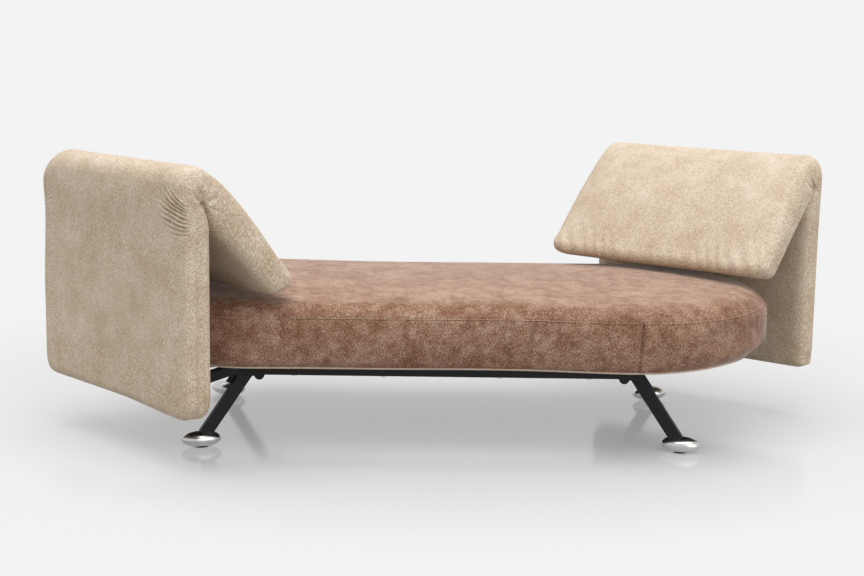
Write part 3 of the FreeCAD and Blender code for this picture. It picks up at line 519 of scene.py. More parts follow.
def apply_modifier(piece: Piece, kind: str, **values: object) -> None:
    """Add a modifier, set it and apply it.

    Args:
        piece: Mesh to change.
        kind: Modifier type.
        values: The modifier's settings.
    """
    bpy.ops.object.select_all(action="DESELECT")
    piece.select_set(True)
    bpy.context.view_layer.objects.active = piece
    made = piece.modifiers.new(kind.lower(), kind)
    for key, value in values.items():
        setattr(made, key, value)
    bpy.ops.object.modifier_apply(modifier=made.name)


def points_of(piece: Piece, value: str = "co") -> Spots:
    """Vertex places, or another vector that each vertex has.

    Args:
        piece: Mesh to read.
        value: Name of the vector.

    Returns:
        One row for each vertex.
    """
    flat = np.zeros(len(piece.data.vertices) * 3)
    piece.data.vertices.foreach_get(value, flat)
    return flat.reshape(-1, 3)


def normals_of(piece: Piece) -> Spots:
    """Vertex normals as an array."""
    return points_of(piece, "normal")


def set_points(piece: Piece, points: Spots) -> None:
    """Move every vertex to the given place."""
    piece.data.vertices.foreach_set("co", np.ascontiguousarray(points, dtype=np.float32).ravel())
    piece.data.update()


def smooth_step(value: Spots, low: float, high: float) -> Spots:
    """Rise softly from 0 at low to 1 at high."""
    share = np.clip((value - low) / (high - low), 0.0, 1.0)
    return share * share * (3.0 - 2.0 * share)


def fade(value: Spots, low: float, high: float) -> Spots:
    """Fall softly from 1 at low to 0 at high."""
    return 1.0 - smooth_step(value, low, high)


def bell(value: Spots, width: float) -> Spots:
    """A soft hump of height 1 about 0."""
    return np.exp(-((value / width) ** 2))


def smooth(piece: Piece) -> None:
    """Shade a piece smoothly."""
    piece.data.polygons.foreach_set("use_smooth", [True] * len(piece.data.polygons))
    piece.data.update()


def cloth_map(piece: Piece, spots: Spots) -> None:
    """Store where the weave runs over a piece: the cloth place of each vertex, in metres."""
    made = piece.data.attributes.new("cloth_map", "FLOAT_VECTOR", "POINT")
    made.data.foreach_set("vector", np.ascontiguousarray(spots, dtype=np.float32).ravel())


def paint_sheen_lift(piece: Piece, share: Spots) -> None:
    """Store a painted sheen at each vertex, from 0 where there is none to 1: it lifts the cloth's colour
    towards pale, standing in for sheen and top light.
    """
    made = piece.data.attributes.new("nap_sheen", "FLOAT", "POINT")
    made.data.foreach_set("value", np.ascontiguousarray(share, dtype=np.float32))


def refine(piece: Piece, chosen: Callable[[Vector], bool]) -> None:
    """Halve the edges in one region, so that fine folds can be drawn there.

    Args:
        piece: Mesh to change.
        chosen: Says whether the middle of an edge lies in the region.
    """
    work = bmesh.new()
    work.from_mesh(piece.data)
    picked = [edge for edge in work.edges if chosen((edge.verts[0].co + edge.verts[1].co) * 0.5)]
    bmesh.ops.subdivide_edges(work, edges=picked, cuts=1, use_grid_fill=True, smooth=0.0)
    work.to_mesh(piece.data)
    work.free()


@dataclass(frozen=True)
class Stuffing:
    """How a sewn cover swells over its foam."""

    voxel: float
    pressure: float
    cap: float
    frames: int = 15
    quality: int = 4
    mass: float = 0.4
    tension: float = 18.0
    shear: float = 9.0
    bending: float = 1.2
    filled: float = 0.75
    usual: float = 0.995
    grip: float = 0.85

    def swell(self, piece: Piece, held: Callable[[Spots], Spots]) -> None:
        """Remesh a cover evenly, let cloth swell under pressure, and keep the result.

        Args:
            piece: Closed mesh, a little smaller than the finished cushion.
            held: Gives, for points, how firmly the cover is held from 0 to 1.
        """
        apply_modifier(piece, "REMESH", mode="VOXEL", voxel_size=self.voxel, use_smooth_shade=True)
        rest = points_of(piece)
        firm = held(rest)
        shift = self.simulate(piece, firm) - rest
        shift[~np.isfinite(shift).all(axis=1)] = 0.0
        facing = normals_of(piece)
        inward = np.minimum((shift * facing).sum(axis=1, keepdims=True), 0.0)
        shift -= self.filled * inward * facing
        size = np.linalg.norm(shift, axis=1, keepdims=True)
        shift *= min(1.0, self.cap / max(float(np.quantile(size, self.usual)), 1e-9))
        size = np.linalg.norm(shift, axis=1, keepdims=True)
        limit = self.cap * (1.0 - self.grip * firm)[:, None]
        shift *= limit * np.tanh(size / limit) / np.maximum(size, 1e-9)
        set_points(piece, rest + shift)

    def simulate(self, piece: Piece, firm: Spots) -> Spots:
        """Run the cloth and take it off again.

        Args:
            piece: The even cover.
            firm: How firmly each point is held.

        Returns:
            Where the points come to rest.
        """
        pins = piece.vertex_groups.new(name="held")
        for level in np.unique(np.round(firm, 1)):
            chosen = np.nonzero(np.round(firm, 1) == level)[0]
            pins.add([int(spot) for spot in chosen], float(level), "REPLACE")
        cloth = piece.modifiers.new("cover", "CLOTH")
        cloth.settings.quality = self.quality
        cloth.settings.mass = self.mass
        cloth.settings.tension_stiffness = self.tension
        cloth.settings.compression_stiffness = self.tension
        cloth.settings.shear_stiffness = self.shear
        cloth.settings.bending_stiffness = self.bending
        cloth.settings.use_pressure = True
        cloth.settings.uniform_pressure_force = self.pressure
        cloth.settings.vertex_group_mass = "held"
        cloth.settings.effector_weights.gravity = 0.0
        cloth.point_cache.frame_start = 1
        cloth.point_cache.frame_end = self.frames
        scene = bpy.context.scene
        for step in range(1, self.frames + 1):
            scene.frame_set(step)
        solved = points_of(piece.evaluated_get(bpy.context.evaluated_depsgraph_get()))
        piece.modifiers.remove(cloth)
        piece.vertex_groups.remove(pins)
        scene.frame_set(1)
        return solved


@dataclass
class Seat:
    """Long seat with round ends: crowned top, full side band, welts and piping."""

    finishes: Finishes
    pivot: float = 0.549
    radius: float = 0.434
    low: float = 0.255
    seam: float = 0.404
    crown: float = 0.457
    sweep: float = 50.0
    free: float = 0.443
    ease: float = 0.003
    open_full: float = 0.024
    shut_full: float = 0.008
    waist_in: float = 0.010
    end_bow: float = 0.007
    end_under: float = 0.033
    end_over: float = 0.018
    side_bow: float = 0.003
    wrinkle: float = 0.0075
    ripple: float = 0.0007
    stitch: float = 0.0011
    join_depth: float = 8.0
    join: float = 0.5585
    join_lean: float = 0.06
    welt_points: int = 420
    outside: float = 0.62
    body: str = "base"
    stuffing: Stuffing = field(default_factory=lambda: Stuffing(0.011, 3.0, 0.010))

    def outline(self, radius: float, count: int = 240) -> Tuple[Spots, Spots]:
        """Points round the seat at a distance from its centre line.

        Args:
            radius: Distance from the centre line.
            count: How many points.

        Returns:
            Plan points and their outward directions.
        """
        straight = 2.0 * self.pivot
        half = straight + math.pi * self.radius
        plan, out = [], []
        for step in range(count):
            run = 2.0 * half * step / count
            way = 1.0 if run < half else -1.0
            run -= 0.0 if run < half else half
            centre = way * (min(run, straight) - self.pivot)
            angle = max(run - straight, 0.0) / self.radius - QUARTER
            out.append((way * math.cos(angle), way * math.sin(angle)))
            plan.append((centre + radius * out[-1][0], radius * out[-1][1]))
        return np.array(plan), np.array(out)

    def build(self) -> Piece:
        """Make the swelled cushion with its seams.

        Returns:
            The finished cushion.
        """
        section = [
            (0.30, self.low), (0.385, self.low), (0.412, self.low + 0.002), (0.424, self.low + 0.008),
            (0.431, self.low + 0.02), (0.435, self.low + 0.045), (0.437, self.low + 0.075),
            (0.4365, self.low + 0.11), (0.434, self.seam - 0.01), (0.4305, self.seam),
            (0.4290, self.seam + 0.006), (0.4245, self.seam + 0.015), (0.415, self.seam + 0.026),
            (0.398, self.seam + 0.036), (0.36, self.seam + 0.044), (0.28, self.seam + 0.049),
            (0.17, self.seam + 0.052), (0.06, self.crown), (0.012, self.crown),
        ]
        rows = []
        for distance, level in section:
            plan, _ = self.outline(distance)
            rows.append(np.column_stack([plan, np.full(len(plan), level)]))
        cushion = loop_mesh("seat_cushion", np.array(rows), False)
        self.stuffing.swell(cushion, self.held)
        apply_modifier(cushion, "SUBSURF", levels=1, render_levels=1)
        refine(cushion, self.on_band)
        self.shape_sides(cushion)
        self.crease(cushion)
        smooth(cushion)
        self.map_cloth(cushion)
        self.finishes.dress(cushion, Slot.BROWN)
        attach(cushion, self.body)
        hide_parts("seat_core", "seat_band", "seat_top")
        self.welts(cushion)
        return cushion

    def on_band(self, spot: Vector) -> bool:
        """Whether a place is on the part of the band that is wrinkled or sewn."""
        return abs(spot.y) > 0.4 and -0.16 < (spot.x if spot.y < 0.0 else -spot.x) < 0.6 and spot.z < 0.415

    def held(self, spots: Spots) -> Spots:
        """How firmly the cover is held, from 0 to 1: at the flat underside and along the seam."""
        under = fade(spots[:, 2], self.low, self.low + 0.012)
        return np.maximum(under, 0.8 * fade(np.abs(spots[:, 2] - self.seam), 0.006, 0.016))

    def polar(self, spots: Spots) -> Tuple[Spots, Spots, Spots]:
        """Distance, outward direction and run along the outline for points.

        Args:
            spots: Points to measure.

        Returns:
            Distance from the centre line, outward unit vectors, and length along the outline.
        """
        near = np.clip(spots[:, 0], -self.pivot, self.pivot)
        away = np.column_stack([spots[:, 0] - near, spots[:, 1]])
        distance = np.linalg.norm(away, axis=1)
        out = away / np.maximum(distance, 1e-6)[:, None]
        angle = np.arctan2(out[:, 1], out[:, 0])
        run = near * np.sign(-spots[:, 1]) + angle * self.radius
        return distance, out, run

    def lengthwise(self, spots: Spots) -> Spots:
        """Place along the seat, to the right for someone who faces that long side."""
        return spots[:, 0] * np.where(spots[:, 1] < 0.0, 1.0, -1.0)

    def shape_sides(self, cushion: Piece) -> None:
        """Fill the open corners of the plan, round the ends under and wrinkle the band softly.

        Args:
            cushion: The swelled cushion.
        """
        spots = points_of(cushion)
        distance, out, _ = self.polar(spots)
        high = (spots[:, 2] - self.low) / (self.seam - self.low)
        end = smooth_step(np.abs(spots[:, 0]), self.pivot, self.pivot + 0.3)
        under = fade(high, 0.0, 0.62) ** 1.6
        over = smooth_step(high, 0.66, 1.25)
        bow = np.sin(np.pi * np.clip(high, 0.0, 1.15) / 1.15)
        edge = smooth_step(distance, 0.33, 0.42)
        x = self.lengthwise(spots)
        open_side = smooth_step(x, 0.22, 0.58) * (1.0 - 0.55 * smooth_step(x, 0.72, 0.97))
        shut_side = fade(x, -0.62, -0.35)
        plan = self.open_full * open_side + self.shut_full * shut_side - self.waist_in * bell(x - 0.12, 0.2)
        push = plan * smooth_step(distance, 0.05, 0.43) + edge * self.side_bow * bow
        push += edge * end * (self.end_bow * bow - self.end_under * under - self.end_over * over)
        band = smooth_step(high, -0.05, 0.3) * fade(high, 0.85, 1.1) * edge
        push += band * self.wrinkles(spots)
        push = self.clear_of_backs(distance + push, out, np.abs(spots[:, 0]) > self.pivot) - distance
        spots[:, :2] += out * push[:, None]
        set_points(cushion, spots)

    def wrinkles(self, spots: Spots) -> Spots:
        """Slanting wrinkles and a faint ripple of the band.

        Args:
            spots: Points of the cushion.

        Returns:
            How far each point is pushed out.
        """
        x, height = self.lengthwise(spots), spots[:, 2]
        folds = np.zeros(len(spots))
        for place, slope, width, depth in BAND_WRINKLES:
            line = place + slope * (height - self.low) + 0.002 * np.sin(height * 60.0 + place * 40.0)
            folds += depth * bell(x - line, width)
        return self.ripple * np.sin(x * 83.0 + height * 30.0) - self.wrinkle * folds

    def clear_of_backs(self, reach: Spots, out: Spots, at_end: Spots) -> Spots:
        """Keep the round ends inside the sweep of the backs' inner faces.

        Args:
            reach: Distance of each place from the centre line.
            out: Outward direction of each place.
            at_end: Whether the place lies beyond a pivot.

        Returns:
            The distance, eased to what the turning back leaves free.
        """
        bearing = np.arccos(np.clip(np.abs(out[:, 0]), 0.0, 1.0))
        beyond = np.clip(bearing - math.radians(self.sweep), 0.0, 0.7)
        limit = np.where(at_end, self.free / np.cos(beyond), 1.0)
        return -self.ease * np.logaddexp(-reach / self.ease, -limit / self.ease)

    def crease(self, cushion: Piece) -> None:
        """Draw the cover in along the line between band and top and at the band's own joins.

        Args:
            cushion: The shaped cushion.
        """
        spots = points_of(cushion)
        height = spots[:, 2]
        distance, out, _ = self.polar(spots)
        rim = smooth_step(distance, 0.38, 0.41)
        groove = bell(height - self.seam, 0.0045) * rim
        lean = self.join - self.join_lean * (self.seam - height)
        below = fade(height, self.seam - 0.004, self.seam + 0.004)
        groove += self.join_depth * bell(self.lengthwise(spots) - lean, 0.0034) * rim * below
        spots[:, :2] -= out * (self.stitch * groove)[:, None]
        set_points(cushion, spots)

    def map_cloth(self, cushion: Piece) -> None:
        """Lay the weave flat on the top and upright round the band, and paint a sheen on the top.

        Args:
            cushion: The finished shape.
        """
        spots = points_of(cushion)
        distance, _, run = self.polar(spots)
        facing = normals_of(cushion)[:, 2]
        side = (np.abs(facing) < 0.6)[:, None]
        flat = np.column_stack([spots[:, 0], spots[:, 1], np.zeros(len(spots))])
        upright = np.column_stack([run, spots[:, 2], np.zeros(len(spots))])
        cloth_map(cushion, np.where(side, upright, flat))
        # Painted sheen: faces of the top that look up are painted paler, fading to none over the roll down to
        # the seam.
        paint_sheen_lift(cushion, fade(distance, 0.33, 0.43) * smooth_step(facing, 0.2, 0.9))

    def welts(self, cushion: Piece) -> None:
        """Add the sewn welt under the top and the pale piping at the foot of the band, both with the full
        painted sheen.

        Args:
            cushion: The finished cushion, which the welts lie on.
        """
        tree = BVHTree.FromPolygons(
            [vertex.co[:] for vertex in cushion.data.vertices],
            [face.vertices[:] for face in cushion.data.polygons],
        )
        for name, level, thick, proud, slot, node in (
            ("seat_welt", self.seam, 0.0016, 0.0009, Slot.BROWN, None),
            ("foot_piping", self.low + 0.004, 0.0038, 0.0012, Slot.PIPING, "seat_piping"),
        ):
            cord = tube(name, self.on_skin(tree, level, proud), thick)
            cloth_map(cord, points_of(cord))
            # Painted sheen: both cords are painted paler all round, standing in for the highlight on a raised
            # cord.
            paint_sheen_lift(cord, np.ones(len(cord.data.vertices)))
            self.finishes.dress(cord, slot)
            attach(cord, self.body)
            if node:
                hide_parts(node)
            LOG.info("made %s", name)

    def on_skin(self, tree: BVHTree, level: float, proud: float) -> Spots:
        """Path round the cushion's skin at one height.

        Args:
            tree: Search tree of the cushion.
            level: Height of the path.
            proud: How far the path stands out of the skin.

        Returns:
            Points of the closed path.
        """
        path = []
        last = self.radius
        for (cx, cy), (ox, oy) in zip(*self.outline(0.0, self.welt_points)):
            start = Vector((cx + ox * self.outside, cy + oy * self.outside, level))
            hit = tree.ray_cast(start, Vector((-ox, -oy, 0.0)))[0]
            if hit is not None:
                last = Vector((hit.x - cx, hit.y - cy)).length
            path.append((cx + ox * (last + proud), cy + oy * (last + proud), level))
        return np.array(path)


@dataclass
class FoldedCover:
    """Cover of one back in its own frame: inward of the ridge axis, along it and above it."""

    thick: float = 0.088
    half: float = 0.398
    drop: float = 0.629
    fold: float = 44.0
    flap_reach: float = 0.402
    flap_half: float = 0.046
    tip_slope: float = 12.0
    tip_front: float = 0.024
    tip_rear: float = 0.030
    tip_room: float = 0.02
    flap_crown: float = 0.015
    flap_swell: float = 0.020
    flap_corner: float = 0.045
    ridge_full: float = 0.011
    ridge_inner: float = 0.09
    ridge_outer: float = 0.12
    foot_corner: float = 0.055
    foot_round: float = 0.6
    end_power: float = 2.6
    end_least: float = 0.42
    end_rows: int = 60
    stuffing: Stuffing = field(default_factory=lambda: Stuffing(0.009, 3.5, 0.007))

    def __post_init__(self) -> None:
        """Work out the slope of the hanging pad."""
        lean = math.radians(self.fold)
        self.down = np.array([math.sin(lean), -math.cos(lean)])
        self.face = np.array([math.cos(lean), math.sin(lean)])
        self.halving = np.array([math.cos(lean / 2), math.sin(lean / 2)])

    def hung(self, reach: float, lift: float) -> Pair:
        """A place on the hanging pad, by its reach from the ridge and its lift off the middle."""
        return tuple(self.down * reach + self.face * lift)

    def section(self, share: float, crown: float) -> Spots:
        """Outline of the folded pad at one place along the ridge.

        Args:
            share: Part of the full half thickness, from 0 to 1.
            crown: Part of the full crown, from 0 to 1.

        Returns:
            Points of the closed outline, inward and height from the ridge axis.
        """
        rho, flap = self.thick / 2.0 * share, self.flap_half * share
        rear, front = self.tip_rear * share, self.tip_front * share
        corner = self.foot_round * rho
        foot = corner - self.drop
        begin = math.radians(self.fold)
        start = rho / math.tan(begin / 2.0)
        points = arc((rho - corner, foot), corner, (-QUARTER, 0.0), 5)
        for step in range(1, 41):
            points.append((rho, foot - (start + foot) * step / 40))
        for step in range(1, 29):
            points.append(self.hung(start + (self.flap_reach - self.tip_room - start) * step / 28, -flap))
        bend = math.radians(90.0 - self.fold + self.tip_slope)
        tip = self.flap_reach + 2.0 * flap / math.tan(bend)
        rear_end = self.flap_reach - rear * math.tan(bend / 2.0)
        front_end = tip - front / math.tan(bend / 2.0)
        nose = arc((rear_end, rear - flap), rear, (-QUARTER, bend - QUARTER), 8)
        nose += arc((front_end, flap - front), front, (bend - QUARTER, QUARTER), 8)
        points += [self.hung(reach, lift) for reach, lift in nose]
        for step in range(1, 34):
            part = 1.0 - step / 33
            reach = front_end * part
            lift = flap * part + rho * (1.0 - part)
            lift += self.flap_crown * crown * share * 4.0 * part * (1.0 - part)
            lift += self.flap_swell * share * 6.75 * part * (1.0 - part) ** 2
            lift += self.ridge_full * share * bell(reach, self.ridge_inner)
            points.append(self.hung(reach, lift))
        points += arc((0.0, 0.0), rho + self.ridge_full * share, (begin, math.pi), 19, skip=1)
        for step in range(1, 46):
            height = foot * step / 45
            points.append((-rho - self.ridge_full * share * bell(height, self.ridge_outer), height))
        points += arc((corner - rho, foot), corner, (math.pi, math.pi + QUARTER), 5, skip=1)
        return np.array(points)

    def reach_along(self, inward: Spots, height: Spots) -> Spots:
        """Half length of the pad along the ridge, drawn in at its rounded corners.

        Args:
            inward: Places of an outline, inward of the ridge.
            height: The same places' heights.

        Returns:
            The half length at each place.
        """
        half = np.full(len(inward), self.half)
        reach = inward * self.down[0] + height * self.down[1]
        on_flap = inward * self.halving[0] + height * self.halving[1] > 0.0
        for level, corner, use in (
            ((self.foot_corner - self.drop) - height, self.foot_corner, ~on_flap),
            (reach - (self.flap_reach - 0.005), self.flap_corner, on_flap),
        ):
            deep = np.clip(level, 0.0, corner * 0.999)
            half -= np.where(use, corner - np.sqrt(corner * corner - deep * deep), 0.0)
        return half

    def split(self, spots: Spots) -> Spots:
        """Distance from the plane that halves the fold, positive on the hanging pad."""
        return spots[:, 0] * self.halving[0] + spots[:, 2] * self.halving[1]

    def held(self, spots: Spots) -> Spots:
        """Hold the cover in the fold and where the carrier arms enter.

        Args:
            spots: Points of the cover.

        Returns:
            How firmly each is held, from 0 to 1.
        """
        inside = (spots[:, 0] > -0.01) & (spots[:, 2] < 0.0)
        fold = fade(np.abs(self.split(spots)), 0.03, 0.09) * inside
        foot = fade(spots[:, 2] + self.drop, 0.01, 0.06)
        return np.clip(np.maximum(fold, 0.7 * foot), 0.0, 1.0)

    def build(self) -> Piece:
        """Make the swelled cover in its own frame.

        Returns:
            A mesh object that the backs copy.
        """
        rows = []
        edge = self.thick / 2.0
        for step in range(-self.end_rows, self.end_rows + 1):
            share = math.sin(step / self.end_rows * math.pi / 2)
            into = max(0.0, (abs(share) * self.half - (self.half - edge)) / edge)
            full = max(self.end_least, (1.0 - into**self.end_power) ** (1.0 / self.end_power))
            outline = self.section(full, 1.0 - abs(share) ** 4)
            along = share * self.reach_along(outline[:, 0], outline[:, 1])
            rows.append(np.column_stack([outline[:, 0], along, outline[:, 1]]))
        cover = loop_mesh("folded_cover", np.array(rows), False)
        self.stuffing.swell(cover, self.held)
        apply_modifier(cover, "SUBSURF", levels=1, render_levels=1)
        refine(cover, self.at_ends)
        return cover

    def at_ends(self, spot: Vector) -> bool:
        """Whether a place is near an end of the ridge, where the cover is gathered."""
        return abs(spot.y) > self.half - 0.16 and math.hypot(spot.x, spot.z + 0.03) < 0.17


@dataclass
class Back:
    """One folded back: upright outer pad, round ridge and hanging inner pad in one cover."""

    side: Side
    finishes: Finishes
    cover: FoldedCover
    pattern: Piece
    pivot_x: float
    turn: float
    reach: float = 0.494
    ridge: float = 0.788
    seed: float = 0.0
    shoulders: Pair = (0.03, 0.03)
    foot_corners: Pair = (0.055, 0.055)
    pleats: Pair = (1.0, 1.0)
    drawn: Pair = (0.0, 0.0)
    sink: float = 0.0
    droop: float = 0.0
    knot: Pair = (0.012, -0.042)
    pucker_depth: float = 0.006
    pleat_depth: float = 0.0078
    pleat_wide: float = 0.0030
    slit_depth: float = 0.020
    dimple_depth: float = 0.012
    crinkle: float = 0.0016
    press_depth: float = 0.0024

    def __post_init__(self) -> None:
        """Work out the back's own axes."""
        angle = math.radians(self.turn)
        self.out = np.array([math.cos(angle), math.sin(angle), 0.0])
        self.along = np.array([-math.sin(angle), math.cos(angle), 0.0])
        self.up = np.array([0.0, 0.0, 1.0])
        self.axis = np.array([self.pivot_x, 0.0, self.ridge]) + self.out * self.reach

    def fit_corners(self, pad: Piece) -> None:
        """Round the ridge's two shoulders and the two lower corners as they are on this back.

        Args:
            pad: The pad in the cover's own frame.
        """
        cover = self.cover
        spots = points_of(pad)
        on_panel = cover.split(spots) < 0.0
        for way, shoulder, corner, draw in zip((-1.0, 1.0), self.shoulders, self.foot_corners, self.drawn):
            here = spots[:, 1] * way > 0.0
            into = np.clip(spots[:, 1] * way - (cover.half - shoulder), 0.0, shoulder * 0.98)
            fall = 0.85 * (shoulder - np.sqrt(shoulder**2 - into**2))
            ends = []
            for size in (cover.foot_corner, corner):
                deep = np.clip((size - cover.drop) - spots[:, 2], 0.0, size * 0.999)
                ends.append(cover.half - size + np.sqrt(size * size - deep * deep))
            spots[:, 1] *= np.where(here & on_panel, ends[1] / ends[0], 1.0)
            tight = draw * smooth_step(spots[:, 2], -0.36, 0.0) * smooth_step(spots[:, 1] * way, 0.2, 0.4)
            spots[:, 1] -= np.where(here, way * tight, 0.0)
            spots[:, 2] -= np.where(here, fall * smooth_step(spots[:, 2], -0.12, 0.04), 0.0)
        low_end = smooth_step(-spots[:, 2], 0.35, 0.62) * smooth_step(spots[:, 1], 0.0, 0.38) * on_panel
        spots[:, 2] -= self.sink * smooth_step(spots[:, 2], -0.2, 0.03) + self.droop * low_end
        set_points(pad, spots)

    def puckers(self, spread: Spots, angle: Spots) -> Spots:
        """Short folds that run out from the knot at a ridge's end.

        Args:
            spread: Distance of each place from the knot.
            angle: Its direction from the knot.

        Returns:
            Depth of the folds at each place.
        """
        depths = np.zeros(len(spread))
        for turn, width, start, stop, depth in PUCKERS:
            swing = angle - turn - 0.05 * self.seed * np.sin(turn * 9.0) - 3.0 * spread * math.sin(turn * 5.0)
            window = smooth_step(spread, start, start + 0.014) * fade(spread, stop * 0.6, stop * 1.3)
            depths += depth * window * bell(swing * (spread + 0.012), 0.036 * width + 0.0012)
        return depths

    def pleat_lines(self, far: Spots, level: Spots) -> Spots:
        """Long pleats that fan down the outer face, each with a low ridge beside it.

        Args:
            far: Distance of each place from the ridge's end.
            level: Its height above the knot.

        Returns:
            Depth of the pleats at each place.
        """
        depths = np.zeros(len(far))
        for drop, slope, length, depth in PLEATS:
            line = drop - 0.032 + slope * (far - 0.03) + 0.0011 * np.sin(far * 55.0 + drop * 90.0 + self.seed)
            window = smooth_step(far, 0.004, 0.018) * fade(far, 0.5 * length, length)
            off = (level - line) / self.pleat_wide
            depths += depth * window * (bell(off, 1.0) - 0.45 * bell(off - 1.9, 1.0))
        return depths

    def gathers(self, pad: Piece) -> None:
        """Pucker the cover round both ends of the ridge, and wrinkle the foot of the hanging pad.

        Args:
            pad: The pad in the cover's own frame.
        """
        cover = self.cover
        spots, normal = points_of(pad), normals_of(pad)
        inward, along, height = spots.T
        far = cover.half - np.abs(along)
        ahead, level = inward - self.knot[0], height - self.knot[1]
        spread = np.hypot(ahead, level)
        ends = self.pucker_depth * fade(far, 0.03, 0.10) * self.puckers(spread, np.arctan2(level, ahead))
        outer = smooth_step(-normal[:, 0], 0.0, 0.4) * np.where(along < 0.0, *self.pleats)
        lines = self.pleat_depth * outer * self.pleat_lines(far, level)
        spots -= normal * (ends * (1.0 - 0.9 * outer) + lines)[:, None]
        slit = bell(cover.split(spots), 0.0055) * smooth_step(-level, -0.012, 0.004)
        slit *= fade(-level, 0.09, 0.13)
        tuck = self.slit_depth * slit + self.dimple_depth * bell(spread, 0.011)
        spots[:, 1] -= np.sign(along) * tuck * fade(far, 0.03, 0.07)
        reach = inward * cover.down[0] + height * cover.down[1]
        on_face = smooth_step(inward * cover.face[0] + height * cover.face[1], 0.0, 0.03)
        on_face *= cover.split(spots) > 0
        foot = smooth_step(reach, 0.31, 0.42) * on_face
        slant = np.sin(along * 150.0 + reach * 75.0 + self.seed + 1.4 * np.sin(along * 31.0))
        patch = 0.35 + 0.65 * smooth_step(np.abs(along), 0.10, 0.26)
        spots += normal * (self.crinkle * foot * slant * patch)[:, None]
        line = reach - 0.052 - 0.004 * np.sin(along * 8.0 + self.seed)
        press = bell(line, 0.016) * on_face * fade(np.abs(along), 0.2, 0.34)
        spots -= normal * (self.press_depth * press)[:, None]
        set_points(pad, spots)

    def build(self) -> Piece:
        """Set the cover on this back, gather it, fit its corners and dress it.

        Returns:
            The finished pad.
        """
        pad = self.pattern.copy()
        pad.data = self.pattern.data.copy()
        pad.name = pad.data.name = "%s_folded_pad" % self.side.value
        bpy.context.scene.collection.objects.link(pad)
        self.map_cloth(pad)
        self.gathers(pad)
        self.fit_corners(pad)
        inward, along, height = points_of(pad).T
        placed = self.axis - np.outer(inward, self.out) + np.outer(along, self.along)
        set_points(pad, placed + np.outer(height, self.up))
        tidy_normals(pad)
        smooth(pad)
        self.finishes.dress(pad, Slot.BEIGE)
        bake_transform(pad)
        stood_for = ("panel_pad", "ridge_roll", "flap_pad")
        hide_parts(*["%s_%s" % (node, self.side.value) for node in stood_for])
        return pad

    def map_cloth(self, pad: Piece) -> None:
        """Run the weave up the outer pad, over the ridge and down the inner pad, and paint a sheen on the
        faces that look up.

        Args:
            pad: The pad in the cover's own frame.
        """
        spots = points_of(pad)
        reach = spots[:, 0] * self.cover.down[0] + spots[:, 2] * self.cover.down[1]
        run = np.where(self.cover.split(spots) > 0, -reach, spots[:, 2])
        cloth_map(pad, np.column_stack([spots[:, 1], run, spots[:, 0] * 0.5]))
        # Painted sheen: faces that look up are painted paler, standing in for the top light and sheen on
        # them.
        paint_sheen_lift(pad, smooth_step(normals_of(pad)[:, 2], 0.4, 0.9))


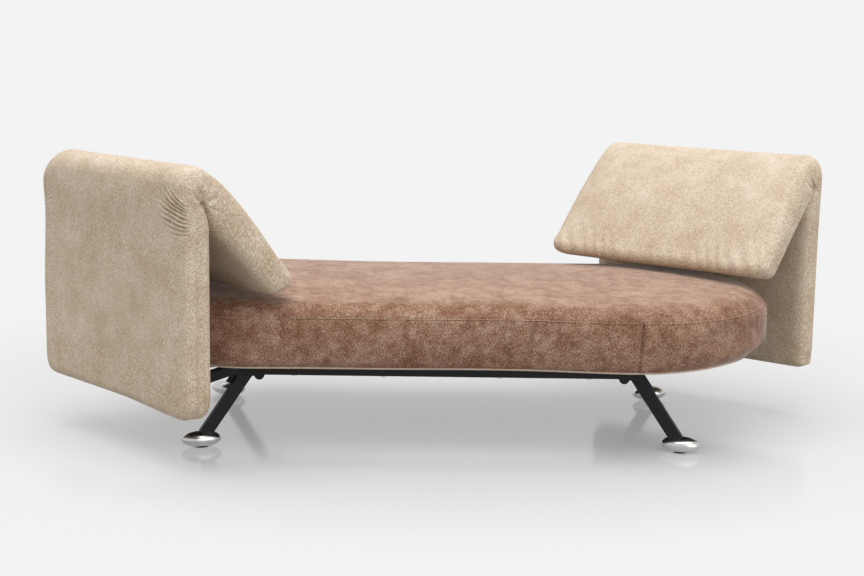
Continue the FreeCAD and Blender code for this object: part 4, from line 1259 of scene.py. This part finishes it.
@dataclass
class Studio:
    """Pale floor, soft lamps and the camera."""

    tone: Colour = (0.40, 0.40, 0.40)
    shine: float = 0.325
    glow: float = 0.887
    air: float = 0.56
    floor_size: float = 400.0
    polish: float = 0.12
    floor_ior: float = 1.42
    gloss_middle: Triple = (0.0, 0.7, 0.0)
    gloss_reach: Pair = (1.2, 1.9)
    sensor: float = 36.0
    lens: float = 65.32
    place: Triple = (-0.0612, -4.7442, 1.2316)
    pitch: float = 9.699
    yaw: float = 0.3695
    roll: float = 0.8134

    def build(self) -> None:
        """Set the whole studio up."""
        self.backdrop()
        self.lamps()
        self.camera()
        bpy.context.scene.view_settings.view_transform = "Standard"

    def backdrop(self) -> None:
        """A wide pale floor with a soft gloss near the sofa."""
        bpy.ops.object.select_all(action="DESELECT")
        bpy.ops.mesh.primitive_plane_add(size=1.0, location=(0.0, 0.0, 0.0))
        floor = bpy.context.active_object
        floor.name = "studio_floor"
        bpy.ops.object.mode_set(mode="EDIT")
        bpy.ops.mesh.select_all(action="SELECT")
        bpy.ops.transform.resize(value=(self.floor_size, self.floor_size, 1.0))
        bpy.ops.object.mode_set(mode="OBJECT")
        material = bpy.data.materials.new("studio_floor")
        sheet = NodeSheet(material, "ShaderNodeOutputMaterial")
        matt = sheet.node("ShaderNodeBsdfDiffuse", Color=rgba(self.tone))
        pale = sheet.node("ShaderNodeEmission")
        sheet.link(self.seen(sheet, 0.0, self.shine), pale.inputs["Strength"])
        paint = sheet.node("ShaderNodeAddShader", matt.outputs[0], pale.outputs[0])
        polish = sheet.node("ShaderNodeBsdfGlossy", Roughness=self.polish)
        body = sheet.node("ShaderNodeTexCoord").outputs["Object"]
        away = sheet.node("ShaderNodeVectorMath", body, self.gloss_middle, operation="DISTANCE")
        near, far = self.gloss_reach
        gloss = sheet.node("ShaderNodeMapRange", From_Min=near, From_Max=far, To_Min=1.0, To_Max=0.0)
        sheet.link(away.outputs["Value"], gloss.inputs["Value"])
        glance = sheet.node("ShaderNodeFresnel", IOR=self.floor_ior)
        share = sheet.node("ShaderNodeMath", gloss.outputs["Result"], glance.outputs[0], operation="MULTIPLY")
        coat = sheet.node("ShaderNodeMixShader", share.outputs[0], paint.outputs[0], polish.outputs[0])
        sheet.link(coat.outputs[0], sheet.output.inputs[0])
        floor.data.materials.append(material)

    def seen(self, sheet: NodeSheet, unseen: float, shown: float) -> Socket:
        """Give one strength to light that is seen, straight or mirrored, and another to the rest.

        Args:
            sheet: Sheet that takes the nodes.
            unseen: Strength for light that only falls on things.
            shown: Strength for light that is looked at.

        Returns:
            The strength socket.
        """
        path = sheet.node("ShaderNodeLightPath")
        joined = path.outputs["Is Camera Ray"]
        for kind in ("Is Glossy Ray", "Is Transmission Ray"):
            joined = sheet.node("ShaderNodeMath", joined, path.outputs[kind], operation="MAXIMUM").outputs[0]
        return sheet.node("ShaderNodeMapRange", joined, To_Min=unseen, To_Max=shown).outputs["Result"]

    def lamps(self) -> None:
        """Even air light, pale where it is seen, with broad soft lamps from above and in front."""
        world = bpy.data.worlds.new("studio_air")
        bpy.context.scene.world = world
        sheet = NodeSheet(world, "ShaderNodeOutputWorld")
        strength = self.seen(sheet, self.air, self.glow)
        sky = sheet.node("ShaderNodeBackground", rgba((1.0, 1.0, 1.0)), strength)
        sheet.link(sky.outputs[0], sheet.output.inputs[0])
        for name, turn, strength, spread in (
            ("top_lamp", (8.0, -4.0, 0.0), 2.45, 60.0),
            ("front_lamp", (70.0, 0.0, 38.0), 0.85, 60.0),
        ):
            lamp = bpy.data.lights.new(name, "SUN")
            lamp.energy = strength
            lamp.angle = math.radians(spread)
            made = bpy.data.objects.new(name, lamp)
            bpy.context.scene.collection.objects.link(made)
            made.rotation_euler = tuple(math.radians(part) for part in turn)

    def camera(self) -> None:
        """Camera at the photograph's angle."""
        tilt, swing, lean = (math.radians(part) for part in (self.pitch, self.yaw, self.roll))
        ahead = Vector((math.sin(swing) * math.cos(tilt), math.cos(swing) * math.cos(tilt), -math.sin(tilt)))
        right = Vector((math.cos(swing), -math.sin(swing), 0.0))
        up = right.cross(ahead)
        across = right * math.cos(lean) + up * math.sin(lean)
        above = up * math.cos(lean) - right * math.sin(lean)
        lens = bpy.data.cameras.new("photo_camera")
        lens.sensor_width = self.sensor
        lens.lens = self.lens
        made = bpy.data.objects.new("photo_camera", lens)
        bpy.context.scene.collection.objects.link(made)
        turn = Matrix((across, above, -ahead)).transposed().to_4x4()
        made.matrix_world = Matrix.Translation(Vector(self.place)) @ turn
        bpy.context.scene.camera = made


def main() -> None:
    """Dress the frame, make the soft pieces and set the studio."""
    finishes = Finishes()
    finishes.dress_frame(frame["record"], frame["nodes"])
    LOG.info("dressed %d frame nodes", len(frame["nodes"]))
    seat = Seat(finishes)
    LOG.info("made %s", seat.build().name)
    cover = FoldedCover()
    pattern = cover.build()
    LOG.info("made %s", pattern.name)
    left = Back(
        Side.LEFT, finishes, cover, pattern, -seat.pivot, 222.0, droop=0.014,
        shoulders=(0.12, 0.03), foot_corners=(0.055, 0.062), pleats=(0.15, 1.0), drawn=(0.026, 0.0),
    )
    right = Back(
        Side.RIGHT, finishes, cover, pattern, seat.pivot, 50.0, seed=1.9, sink=0.012,
        shoulders=(0.045, 0.03), foot_corners=(0.02, 0.05), pleats=(1.0, 0.15), drawn=(0.0, 0.012),
    )
    for back in (left, right):
        LOG.info("made %s", back.build().name)
    bpy.data.objects.remove(pattern, do_unlink=True)
    Studio().build()


if __name__ == "__main__":
    main()
